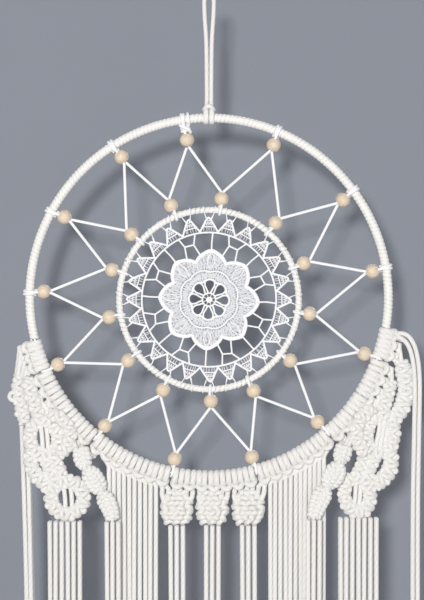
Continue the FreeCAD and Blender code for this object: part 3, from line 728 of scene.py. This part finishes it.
piece = Weave()
sennit(piece, guide([(-159.4, -65), (-159.2, -79), (-157.6, -92), (-154.5, -106)], OUTER_Y - 1))
lead_all(piece, (0, 1), at(-159.4, -67, OUTER_Y - 1), 2.6)
picot = [(-160.5, -79.5, 3.0), (-165.6, -80.0, 2.0), (-167.3, -83.6, 2.6), (-165.0, -86.4, 3.4),
         (-160.5, -85.5, 4.0)]
piece.cord(through([at(*p) for p in picot]), 1.8)
finish_piece(piece, "left_outer_braid", "left_side", "left_outer_sennit")

piece = Weave()
sennit(piece, guide([(-151.2, -68), (-148.6, -81), (-144.6, -92), (-141.2, -101.0)], -2.4))
lead_all(piece, (2, 3), at(-151.2, -70, -2.4), 2.4)
sennit(piece, guide([(-149.6, -127.4), (-148.4, -141), (-140.5, -153.0), (-131.5, -160.5)]))
sennit(piece, guide([(-137.0, -134.0), (-133.4, -143.8), (-128.6, -154.0)]), half=4.0)
sennit(piece, guide([(-129.6, -131.8), (-126.0, -141.6), (-121.4, -152.0)]), half=4.0)
finish_piece(piece, "left_chain_braids", "left_side", "left_chain_sennits")

piece = Weave()
eye(piece, -137.8, -117.8, 12.0, 14.6, 10, 4.6, [(-3.2, -1.0, -1.6), (1.2, 3.4, -0.8)])
lead_pairs(piece, (4, 5, 6, 7), ((-139, -104), (-132, -105), (-127, -110), (-124.5, -116)), 1)
sennit(piece, guide([(-133.4, -97.0), (-122.6, -101.0), (-116.0, -110.0), (-117.0, -121.5),
                     (-125.0, -131.5)], -5.0), half=4.3)
finish_piece(piece, "left_upper_eye_braid", "left_side", "left_upper_eye")

piece = Weave()
eye(piece, -118.4, -167.6, 13.8, 13.8, -8, 4.6, [(-3.5, -1.5, -1.2), (2.2, 4.0, -1.0)])
finish_piece(piece, "left_lower_eye_braid", "left_side", "left_lower_eye")

LEFT_LEAF = [(-106.6, -125.5), (-104.2, -136.5), (-97.2, -148.8), (-89.6, -161.5), (-83.0, -174),
             (-79.8, -185)]
RIGHT_LEAF = [(112.4, -123.8), (109.6, -134), (104.8, -145.5), (97.2, -158.2), (91.0, -170.5),
              (86.8, -183.5)]
for side, points, breadth, necks, knots, spread in (
        ("left", LEFT_LEAF, 5.8, (0.26, 0.62), (8, 9, 10), 4.0),
        ("right", RIGHT_LEAF, 6.2, (0.22, 0.57), (33, 32, 31), -3.6)):
    piece = Weave()
    leaf_line = guide(points, LEAF_Y)
    leaf(piece, leaf_line, breadth, necks)
    lead_all(piece, knots, leaf_line[4] + [0, 1.0, 0], spread)
    finish_piece(piece, f"{side}_leaf_hitches", f"{side}_leaf", f"{side}_leaf_knots")

piece = Weave()
sennit(piece, guide([(160.6, -54), (164.2, -68), (164.2, -82), (159.8, -95), (152.6, -103.4)]),
       half=5.5, cord=2.25)
lead_all(piece, (40, 39), at(160.0, -56, STRAND_Y), -2.4)
finish_piece(piece, "right_outer_braid", "right_side", "right_outer_sennit")

piece = Weave()
sennit(piece, guide([(152.0, -70), (149.4, -81), (146.6, -90), (144.8, -98)], -2.0), half=4.2)
lead_all(piece, (38, 37), at(151.8, -72, -2.0), -2.2)
sennit(piece, guide([(149.8, -125.0), (152.4, -137), (148.8, -148.0), (138.6, -157.4)]),
       half=5.2, cord=2.2)
sennit(piece, guide([(133.2, -127.6), (128.2, -139.0), (123.6, -150.4)]), half=4.0)
sennit(piece, guide([(140.6, -130.0), (135.6, -141.2), (131.0, -152.4)]), half=4.0)
finish_piece(piece, "right_chain_braids", "right_side", "right_chain_sennits")

piece = Weave()
eye(piece, 143.4, -114.6, 11.4, 16.0, -8, 4.2,
    [(0.4, -5.2, -1.4), (3.8, -1.6, -1.8), (7.0, 2.0, -0.8)])
lead_pairs(piece, (36, 35, 34), ((142, -101), (135.5, -103), (130.5, -108)), -1)
sennit(piece, guide([(137.0, -92.0), (127.4, -100.0), (122.6, -110.5), (124.6, -121.5),
                     (131.0, -131.0)], -5.0), half=4.5)
finish_piece(piece, "right_upper_eye_braid", "right_side", "right_upper_eye")

piece = Weave()
eye(piece, 123.8, -165.0, 10.8, 14.6, 8, 4.4, [(-1.0, -3.0, -1.2), (3.0, 1.0, -1.0)])
finish_piece(piece, "right_lower_eye_braid", "right_side", "right_lower_eye")

# --- berry knots


def ball(weave, centre, radii, rings=16, sides=24):
    """A smooth closed filling inside a berry."""
    polar = np.linspace(0.12, math.pi - 0.12, rings)
    around = np.arange(sides) * 2 * math.pi / sides
    shape = np.stack([
        np.sin(polar)[:, None] * np.cos(around)[None, :] * radii[0],
        np.sin(polar)[:, None] * np.sin(around)[None, :] * radii[1],
        -np.cos(polar)[:, None] * np.ones(sides)[None, :] * radii[2],
    ], axis=-1)
    weave.rings(centre + shape, np.linspace(0, 1, rings))


BERRY_HALF = (11.0, 5.2, 12.0)
BERRY_CORE = (10.2, 4.6, 11.0)
# Height of each row of bumps, as a share of the half height, and how many it has.
BERRY_BUMPS = ((1.04, 3), (0.72, 4), (0.38, 5), (0.04, 4), (-0.30, 5), (-0.64, 4), (-0.94, 3))
BERRY_SIDES = (0.78, 0.40, 0.02, -0.36, -0.74)


def on_berry(middle, u, v, lift=0.0):
    """A point on a berry's front at these shares of its half width and half height."""
    half_x, half_y, half_z = BERRY_HALF
    hidden = max(0.0, 1 - u * u - v * v)
    return middle + [half_x * u, -half_y * math.sqrt(hidden) - lift, half_z * v]


for name, x, _, first_knot in BERRIES:
    piece = Weave()
    middle = at(x, -BERRY_DROP + 1.6, STRAND_Y)
    ball(piece, middle, BERRY_CORE)
    for row, (v, across) in enumerate(BERRY_BUMPS):
        reach = 0.93 * math.sqrt(1 - (0.80 * v) ** 2)
        for u in np.linspace(-reach, reach, across):
            lean = rng.normal(0, 0.35) + 0.45 * (-1) ** row
            du, dv = 0.23 * math.cos(lean), 0.20 * math.sin(lean)
            height = 1.7 + rng.normal(0, 0.45)
            arch = [(-1.0, -0.05, -1.9), (-0.6, 0.0, 0.3), (0.0, 0.05, height), (0.6, 0.0, 0.3),
                    (1.0, -0.05, -1.9)]
            piece.cord(through([on_berry(middle, u + k * du, v + k * dv + rise, lift)
                                for k, rise, lift in arch]), 2.2)
    for sign in (-1, 1):
        for v in BERRY_SIDES:
            u = math.sqrt(1 - (0.86 * v) ** 2) * (1.0 + rng.normal(0, 0.02))
            turn_back = [(9.6, -3.6, 1.2), (11.6, -0.8, 0.4), (11.6, 2.2, -0.6), (9.4, 4.4, -1.6)]
            piece.cord(through([middle + [sign * side * u, y, BERRY_HALF[2] * v + rise]
                                for side, y, rise in turn_back]), 2.15)
    feet = [at(fx, fz, STRAND_Y) for index in range(first_knot, first_knot + 3)
            for fx, fz in KNOT_FEET[index]]
    aims = np.linspace(-10.0, 10.0, len(feet))
    for number, (foot, aim) in enumerate(zip(feet, aims)):
        end = middle + [aim, -2.2 + 1.6 * (number % 2), 10.4 - 0.06 * aim ** 2]
        lead(piece, foot, end, (aim * 0.1, -1.2, 0.6), cord=2.1, dive=1.2)
    finish_piece(piece, f"berry_{name}_knot", f"berry_{name}_tassel", f"berry_{name}")

# --- hoops and their wraps


def hoop_wrap(name, centre, hoop, rho, thick, half_width, start, sweep, pitch, node):
    """A cord wound round a hoop, turn beside turn."""
    weave = Weave()
    turns = int(round(math.radians(sweep) * hoop / pitch))
    t = np.linspace(0, 1, turns * 14 + 1)
    uneven = 0.12 * np.sin(t * turns * 0.9 + 1.0) + 0.1 * np.sin(t * turns * 0.37)
    angle = np.radians(start + sweep * t) + uneven * pitch / hoop * 0.5
    theta = 2 * math.pi * turns * t
    out = np.stack([np.cos(angle), 0 * angle, np.sin(angle)], axis=1)
    up = out * np.cos(theta)[:, None] + FRONT * np.sin(theta)[:, None]
    line = centre + out * hoop + up * rho
    weave.cord(line, half_width, 9.0, up=up, thin=thick / half_width, sides=10, depth=0.03)
    finish_piece(weave, name, "hoop", node, WRAPPING)


hoop_wrap("outer_wrap_cord", HOOP, HOOP_R, 2.8, 1.05, 1.86, -9.6, 203.2, 3.3, "outer_hoop_wrap")
hoop_wrap("inner_wrap_cord", INNER, INNER_R, 2.05, 0.7, 1.85, 0.0, 360.0, 3.7, "inner_hoop_wrap")
for node in ("outer_hoop", "inner_hoop"):
    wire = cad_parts[node]
    wire.data.materials.clear()
    wire.data.materials.append(STEEL)

# --- star cord and beads

OUTER_BEAD_ANGLES = [98, 67, 36, 9, -20, -49, -75, -102, -129, -156, 178, 151, 122]
INNER_BEAD_ANGLES = [112, 83, 49, 21, -8, -37, -64, -89, -117, -143, -170, 163, 140]
INNER_BEAD_REACH = 84.9
STAR_Y = 1.05
STAR_R = 1.25
STAR_SPREAD = 0.75
MOUTH_PAD = 5.7


def outer_bead_reach(index):
    return 132.8 if index == 0 else 138.3


def aside(angle, shift, reach):
    """The angle of a point this far aside of a radius, at this reach."""
    return angle + math.degrees(shift / reach)


def loop_round(angle, side, centre, hoop, loop, mouth):
    """The turn round a hoop, from the arriving leg in front or behind to the other."""
    y_in = STAR_Y * side
    gap = math.hypot(mouth, y_in)
    touch = math.atan2(abs(y_in), mouth) + math.acos(loop / gap)
    spots = []
    for share, phi in zip(np.linspace(1, -1, 11), np.linspace(touch, 2 * math.pi - touch, 11)):
        depth = loop * math.sin(phi) * math.copysign(1, y_in)
        reach = hoop + side * loop * math.cos(phi)
        spots.append(radial(aside(angle, STAR_SPREAD * share, reach), reach, depth, centre))
    return spots


def star_line():
    """The zigzag between both hoops, through every bead twice."""
    spots = []
    count = len(OUTER_BEAD_ANGLES)

    def mouth(angle, shift, reach, y, centre):
        spots.append(radial(aside(angle, shift, reach), reach, y, centre))

    for index in range(count):
        outer, inner = OUTER_BEAD_ANGLES[index], INNER_BEAD_ANGLES[(index + 1) % count]
        wrapped = not KNOT_RUNS[0][0] < outer < KNOT_RUNS[-1][1]
        loop = (3.5 if wrapped else 2.0) + 0.85 * STAR_R
        outside = outer_bead_reach(index) - MOUTH_PAD
        inside = INNER_BEAD_REACH + MOUTH_PAD
        mouth(outer, STAR_SPREAD, outside, -STAR_Y, HOOP)
        spots += loop_round(outer, -1, HOOP, HOOP_R, loop, 5.0)
        mouth(outer, -STAR_SPREAD, outside, STAR_Y, HOOP)
        mouth(inner, STAR_SPREAD, inside, STAR_Y, INNER)
        spots += loop_round(inner, 1, INNER, INNER_R, 2.45 + 0.7 * STAR_R, 3.85)
        mouth(inner, -STAR_SPREAD, inside, -STAR_Y, INNER)
    mouth(OUTER_BEAD_ANGLES[0], STAR_SPREAD, outer_bead_reach(0) - MOUTH_PAD, -STAR_Y, HOOP)
    line = even(np.array(spots), 0.6)
    kernel = np.array([1, 2, 2, 2, 1]) / 8
    return np.stack([np.convolve(line[:, k], kernel, "valid") for k in range(3)], axis=1)


def star_piece(points, smooth=True):
    star.cord(through(points, 0.8) if smooth else points, STAR_R, 5.5, depth=0.12, sides=9)


star = Weave()
star_piece(star_line(), smooth=False)
for index, angle in enumerate(OUTER_BEAD_ANGLES):
    if KNOT_RUNS[0][0] < angle < KNOT_RUNS[-1][1]:
        continue
    laps = (-1.5, 0.55) if index == 0 else (0.8,)
    for shift in laps:
        star_piece([radial(angle + shift + 0.055 * t, HOOP_R - 4.6 * math.cos(t * math.pi / 4),
                           -4.6 * math.sin(t * math.pi / 4)) for t in range(9)])
first = OUTER_BEAD_ANGLES[0]
knot_out = unit(radial(first, 1.0) - HOOP)
knot_side = np.cross(knot_out, FRONT)
turn = np.linspace(0, 4.6 * math.pi, 110)
rise = np.linspace(-2.7, 2.9, 110) + 0.9 * np.sin(turn)
bulge = 2.3 + 0.9 * np.sin(np.linspace(0, math.pi, 110))
star.cord(radial(first, 142.0) + knot_side * (bulge * np.cos(turn))[:, None]
          + knot_out * rise[:, None] - FRONT * (0.72 * bulge * np.sin(turn))[:, None],
          1.4, 6.0, depth=0.1, sides=9)
star.cord(through([radial(first + 1.5, HOOP_R - 4.2, -1.5), radial(first + 1.2, 144.5, -4.2),
                   radial(first - 0.9, 141.0, -4.6), radial(first - 1.7, 138.6, -1.8)], 0.8),
          1.4, 6.0, depth=0.1, sides=9)
finish_piece(star, "star_cord_twist", "hoop", "star_cord", WHITE, "white_cord")


def bead(name, angle, reach, centre):
    """A turned ball: rounded lips where the bore comes out."""
    half_turn = np.radians(np.linspace(-64, 64, 25))
    outside = [(6.0 * math.cos(a), 5.9 * math.sin(a)) for a in half_turn]
    lip = [(2.52, 5.28), (2.36, 5.02), (2.27, 4.5)]
    profile = outside + lip + [(2.27, 1.5), (2.27, -1.5)] + [(r, -h) for r, h in lip[::-1]]
    profile = np.array(profile)
    around = np.arange(48) * 2 * math.pi / 48
    local = np.stack([profile[:, 0][None, :] * np.cos(around)[:, None],
                      profile[:, 0][None, :] * np.sin(around)[:, None],
                      np.broadcast_to(profile[:, 1], (48, len(profile)))], axis=-1)
    turn = math.radians(angle)
    out = np.array([math.cos(turn), 0, math.sin(turn)])
    side = np.array([-math.sin(turn), 0, math.cos(turn)])
    spun = rng.uniform(0, 6.28)
    a = FRONT * math.cos(spun) + side * math.sin(spun)
    b = np.cross(out, a)
    flat = local.reshape(-1, 3)
    points = radial(angle, reach, 0.0, centre) + flat[:, :1] * a + flat[:, 1:2] * b \
        + flat[:, 2:] * out
    n, m = len(around), len(profile)
    faces = [(i * m + j, ((i + 1) % n) * m + j, ((i + 1) % n) * m + (j + 1) % m,
              i * m + (j + 1) % m) for i in range(n) for j in range(m)]
    mesh = bpy.data.meshes.new(name)
    mesh.from_pydata((points * MM).tolist(), [], faces)
    mesh.shade_smooth()
    grain = mesh.attributes.new("grain", "FLOAT_VECTOR", "POINT")
    grain.data.foreach_set("vector", (flat + rng.uniform(-60, 60, 3)).ravel())
    mesh.materials.append(WOOD)
    item = add(name, mesh)
    return item


for index, (outer_angle, inner_angle) in enumerate(zip(OUTER_BEAD_ANGLES, INNER_BEAD_ANGLES)):
    for kind, angle, reach, centre in (
            ("outer", outer_angle, outer_bead_reach(index), HOOP),
            ("inner", inner_angle, INNER_BEAD_REACH, INNER)):
        node = f"{kind}_bead_{index + 1:02d}"
        follow(bead(node + "_turned", angle, reach, centre), node, node)

# --- lace

TIP = 87.0
OCTANT = 45.0
NET, RIM, PETAL_LINE, FINE = 0.8, 1.25, 0.82, 0.38
STRAIGHT_STEP = 0.9
MID_RING = 56.4
TEETH = 24
TOOTH_HALF = 7.3
# Points as degrees from an axis and reach; the lacing's as a share of its spread, reach and depth.
PETAL_LOOP = [(-9, 5.6), (-15.5, 9.0), (-18.5, 12.6), (-13.0, 15.8), (0, 16.9),
              (13.0, 15.8), (18.5, 12.6), (15.5, 9.0), (9, 5.6)]
TOOTH_STITCHES = [(-3.6, 61.8), (-2.6, 64.4), (-1.6, 61.8), (-0.8, 65.8), (0.0, 61.8),
                  (0.8, 65.8), (1.6, 61.8), (2.6, 64.4), (3.6, 61.8)]
LACING_LOOP = [(0.2, 67.2, 0.7), (0.5, 67.0, -0.7), (0.86, 72.0, -2.4), (1.0, 75.0, -3.15),
               (1.05, 77.3, -2.1), (1.08, 78.1, 0.0), (1.05, 77.3, 2.1), (1.0, 75.0, 3.15),
               (0.86, 72.0, 2.4), (0.35, 67.4, 0.8)]


def lace_at(angle, reach, y=0.0):
    return radial(angle, reach, y, INNER)


def petal_edge(angle):
    """Outline of the eight outer petals."""
    wave = np.abs(np.cos(np.radians(4 * (angle - TIP))))
    return 32.6 + 7.8 * wave ** 0.8 + 1.0 * wave ** 14


def rosette_edge(angle):
    """Outline of the open rosette in the middle."""
    return 14.8 + 2.2 * np.abs(np.cos(np.radians(4 * (angle - TIP)))) ** 0.7


def heart_edge(angle):
    """Outline of the eight-lobed solid heart, its valleys on the petals' axes."""
    return 22.9 + 1.9 * np.abs(np.sin(np.radians(4 * (angle - TIP)))) ** 0.8


def closed_line(edge, radius, y=0.0):
    """An outline thread of the lace, all the way round."""
    lace.thread([lace_at(a, float(edge(a)), y) for a in np.linspace(0, 362, 400)], radius, 0.9,
                smooth=False, sides=8)


def straight(weave, ends, radius, y=0.0):
    """A straight thread between two points, each a degree and a reach."""
    weave.thread([lace_at(angle, reach, y) for angle, reach in ends], radius, STRAIGHT_STEP,
                 smooth=False)


lace = Weave()
spiral = np.linspace(0, 3.2 * 2 * math.pi, 60)
lace.thread([lace_at(math.degrees(t), 0.35 + 2.1 * t / spiral[-1], -0.5 + 0.3 * t / spiral[-1])
             for t in spiral], 0.6, 0.7)
closed_line(lambda a: 5.5, 0.72)
for number in range(8):
    spoke = TIP + OCTANT * (number + 0.5)
    straight(lace, [(spoke, 2.4), (spoke, 5.2)], 0.35)
for number in range(8):
    axis = TIP + OCTANT * number
    lace.thread([lace_at(axis + a, r, -0.1) for a, r in PETAL_LOOP], PETAL_LINE)
closed_line(rosette_edge, 0.9)
closed_line(heart_edge, 0.85, -0.35)
closed_line(petal_edge, RIM)
closed_line(lambda a: petal_edge(a) - 1.5, 0.7, -0.1)


def zigzag(low, high, count, jitter, y):
    """Stitches that run back and forth between two outlines, all the way round."""
    angles = np.linspace(0, 360, count + 1)
    spots = []
    for number, angle in enumerate(angles):
        edge = high if number % 2 else low
        spots.append(lace_at(angle + rng.normal(0, jitter), float(edge(angle))
                             + rng.normal(0, 0.25), y + rng.normal(0, 0.12)))
    filling.thread(spots, FINE, smooth=False)


# The fill stitches take the greyer copy of the lace thread, which is painted shade.
filling = Weave()
zigzag(lambda a: rosette_edge(a) + 0.5, lambda a: heart_edge(a) - 0.6, 140, 0.5, -0.3)
zigzag(lambda a: rosette_edge(a) + 1.6, lambda a: heart_edge(a) - 1.6, 100, 0.8, -0.45)
zigzag(lambda a: heart_edge(a) + 0.7, lambda a: 0.5 * (heart_edge(a) + petal_edge(a)) + 0.5,
       160, 0.7, -0.3)
zigzag(lambda a: 0.5 * (heart_edge(a) + petal_edge(a)) - 0.6, lambda a: petal_edge(a) - 0.9,
       176, 0.7, -0.3)
zigzag(lambda a: heart_edge(a) + 1.6, lambda a: petal_edge(a) - 2.4, 110, 1.4, -0.5)
zigzag(lambda a: rosette_edge(a) + 0.5, lambda a: heart_edge(a) + 0.4, 130, 0.6, 0.72)
zigzag(lambda a: heart_edge(a) - 0.2, lambda a: petal_edge(a) - 0.9, 190, 0.8, 0.72)
for y in (-0.45, 0.9):
    for low, high, shares in ((rosette_edge, heart_edge, (0.35, 0.65)),
                              (heart_edge, petal_edge, (0.2, 0.4, 0.6, 0.8))):
        for share in shares:
            filling.thread([lace_at(a, float(low(a) + (high(a) - low(a)) * share)
                                    + rng.normal(0, 0.6), y + rng.normal(0, 0.12))
                            for a in np.linspace(0, 360, 160)], FINE, smooth=False)
for number in range(8):
    axis = TIP + OCTANT * number
    for sign in (-1, 1):
        vein = [(2.0, 26.5), (5.5, 31.0), (3.0, 36.5), (0.0, 39.5)]
        lace.thread([lace_at(axis + sign * a, r, -0.6) for a, r in vein], 0.5, 0.9)

closed_line(lambda a: 56.2, 0.85)
for number in range(8):
    axis = TIP + OCTANT * number
    wander = rng.normal(0, 0.7, 8)
    lace.thread([lace_at(axis, 41.0), lace_at(axis + wander[0] * 0.4, 48.5),
                 lace_at(axis + wander[1] * 0.4, MID_RING)], NET, 0.9)
    middle = axis + OCTANT / 2
    nodes = []
    for sign in (-1, 1):
        node = (middle + sign * 4.6 + wander[2], 47.9 + sign * wander[3] * 1.2)
        nodes.append(node)
        inner = middle + sign * 9.3 + wander[4] * 0.5
        straight(lace, [(inner, float(petal_edge(inner)) - 0.6), node], NET)
        outer = middle + sign * (8.2 + wander[5] * 0.5)
        straight(lace, [node, (outer, MID_RING)], NET)
    straight(lace, nodes, NET)

for number in range(TEETH):
    axis = 90 + 360 / TEETH * number
    lean = rng.normal(0, 0.7)
    outline = [lace_at(axis - TOOTH_HALF, 57.4), lace_at(axis - 4.0 + lean * 0.4, 62.6),
               lace_at(axis - 0.9 + lean, 68.0), lace_at(axis + 0.9 + lean, 68.0),
               lace_at(axis + 4.0 + lean * 0.4, 62.6), lace_at(axis + TOOTH_HALF, 57.4)]
    lace.thread(outline, 0.95)
    straight(lace, [(axis - 4.6, 61.2), (axis + 4.6, 61.2)], 0.6)
    for reach, half in ((64.2, 2.9), (66.2, 1.9)):
        straight(filling, [(axis - half, reach), (axis + half, reach)], 0.5)
    for offset in np.linspace(-4.6, 4.6, 5) + rng.normal(0, 0.35, 5):
        straight(filling, [(axis + offset, 57.6), (axis + offset * 0.94, 61.0)], 0.36, -0.1)
    filling.thread([lace_at(axis + a, r, -0.25) for a, r in TOOTH_STITCHES], 0.4, 0.9,
                   smooth=False)
lace_threads = finish_piece(lace, "lace_threads", "hoop", "lace_doily", LACE, "lace_thread")
lace_stitches = finish_piece(filling, "lace_stitches", "hoop", "lace_doily", FILLING_PAINTED_SHADE,
                             "lace_thread")


def stitched_ground():
    """The cloth under the stitches, with small openings between them; its dark grey is painted
    shade.
    """
    count, rows = 200, 19
    angles = np.linspace(0, 360, count, endpoint=False)
    share = np.linspace(0, 1, rows)
    low, high = rosette_edge(angles)[None, :], petal_edge(angles)[None, :] - 0.4
    reach = low + (high - low) * share[:, None]
    turn = np.radians(angles)[None, :]
    points = np.stack([reach * np.cos(turn), 0 * reach + 0.18, reach * np.sin(turn)], axis=-1)
    points[1:-1, :, 0] += rng.normal(0, 0.1, (rows - 2, count))
    points[1:-1, :, 2] += rng.normal(0, 0.1, (rows - 2, count))
    keep = rng.random((rows - 1, count)) > 0.3
    keep[0], keep[-1] = True, True
    faces = [(i * count + j, i * count + (j + 1) % count, (i + 1) * count + (j + 1) % count,
              (i + 1) * count + j)
             for i in range(rows - 1) for j in range(count) if keep[i, j]]
    flat = points.reshape(-1, 3) + INNER
    used = np.unique(np.array(faces))
    number = {int(old): new for new, old in enumerate(used)}
    mesh = bpy.data.meshes.new("lace_ground_painted_shade")
    mesh.from_pydata((flat[used] * MM).tolist(), [],
                     [tuple(number[c] for c in face) for face in faces])
    mesh.materials.append(GROUND_PAINTED_SHADE)
    layer = mesh.uv_layers.new(name="cord")
    co = flat[used]
    corner = np.array([l.vertex_index for l in mesh.loops])
    layer.data.foreach_set("uv", (co[corner][:, [0, 2]] * 0.35).ravel())
    area = sum(face.area for face in mesh.polygons)
    item = add("lace_ground_painted_shade", mesh)
    skin = item.modifiers.new("thickness", "SOLIDIFY")
    skin.thickness = 0.5 * MM
    skin.offset = 0.0
    return item, area


ground, ground_area = stitched_ground()
follow(ground, "hoop", "lace_doily")

lacing = Weave()
for number in range(TEETH):
    axis = 90 + 360 / TEETH * number
    for sign in (-1, 1):
        spread = 3.6 + rng.normal(0, 0.35)
        lacing.thread([lace_at(axis + sign * spread * share, reach, y)
                       for share, reach, y in LACING_LOOP], 0.45)
finish_piece(lacing, "lacing_threads", "hoop", "doily_lacing", LACE, "lace_thread")

# --- hanging loop

hanger = Weave()
LOOP_CORD = 1.75
hoop_top = HOOP[2] + HOOP_R
feet = [(1.85, hoop_top + 15.5), (-1.85, hoop_top + 15.5)]
larks_head(hanger, HOOP, 90, HOOP_R, 3.75, 2.4, (8.4, 3.0), LOOP_CORD, feet, 0.0, 0.5)
route = [(-1.85, 0, hoop_top + 13.5), (-1.9, 0, -70.0), (-2.3, 0, -38.0), (-3.6, 0, -16.0),
         (-4.0, 0, -6.0), (-3.9, 0, -1.2), (-2.6, 0, 1.1), (0, 0, 2.0)]
mirrored = [(-x, y, z) for x, y, z in route[-2::-1]]
hanger.cord(through(route + mirrored, 1.2), LOOP_CORD, sides=14)
finish_piece(hanger, "hanging_cord", "hanger", "hanging_loop")

# --- stage and light


def plane(name, corners, material):
    """A flat part of the stage."""
    mesh = bpy.data.meshes.new(name)
    mesh.from_pydata(corners, [], [tuple(range(len(corners)))])
    mesh.materials.append(material)
    item = add(name, mesh)
    return item


WALL_Y = 0.093
FLOOR_Z = -0.86
WALL = plaster("wall_paint", (0.226, 0.242, 0.280), (0.234, 0.251, 0.290), True)
FLOOR = plaster("floor_paint", (0.70, 0.69, 0.67), (0.74, 0.73, 0.71))
wall = plane("wall", [(-2.5, WALL_Y, FLOOR_Z), (2.5, WALL_Y, FLOOR_Z), (2.5, WALL_Y, 1.8),
                      (-2.5, WALL_Y, 1.8)], WALL)
plane("floor", [(-6, -6, FLOOR_Z), (6, -6, FLOOR_Z), (6, 6, FLOOR_Z), (-6, 6, FLOOR_Z)], FLOOR)


def lamp(name, place, aim, size, power, colour):
    """A soft round lamp, pointed at a place."""
    data = bpy.data.lights.new(name, "AREA")
    data.shape = "DISK"
    data.size = size
    data.energy = power
    data.color = colour
    item = add(name, data)
    item.location = place
    way = np.array(place, float) - np.array(aim, float)
    item.rotation_euler = (
        math.acos(way[2] / np.linalg.norm(way)), 0.0, math.atan2(way[1], way[0]) + math.pi / 2)
    return item


TARGET = (0.0, 0.0, -0.30)
lamp("key", (-0.42, -2.85, 0.14), TARGET, 0.42, 64.0, (1.0, 0.992, 0.98))
lamp("fill", (1.9, -2.4, 0.1), TARGET, 1.8, 9.0, (0.96, 0.98, 1.0))
rear = lamp("rear", (0.3, 2.6, 0.1), TARGET, 1.6, 48.0, (1.0, 1.0, 1.0))
open_to_rear = bpy.data.collections.new("open_to_rear")
open_to_rear.objects.link(wall)
open_to_rear.collection_objects[0].light_linking.link_state = "EXCLUDE"
rear.light_linking.blocker_collection = open_to_rear

world = bpy.data.worlds.new("studio")
SCENE.world = world
world.use_nodes = True
background = world.node_tree.nodes["Background"]
background.inputs["Color"].default_value = (0.965, 0.98, 1.0, 1.0)
background.inputs["Strength"].default_value = 0.27
SCENE.view_settings.view_transform = "Standard"
SCENE.view_settings.look = "None"
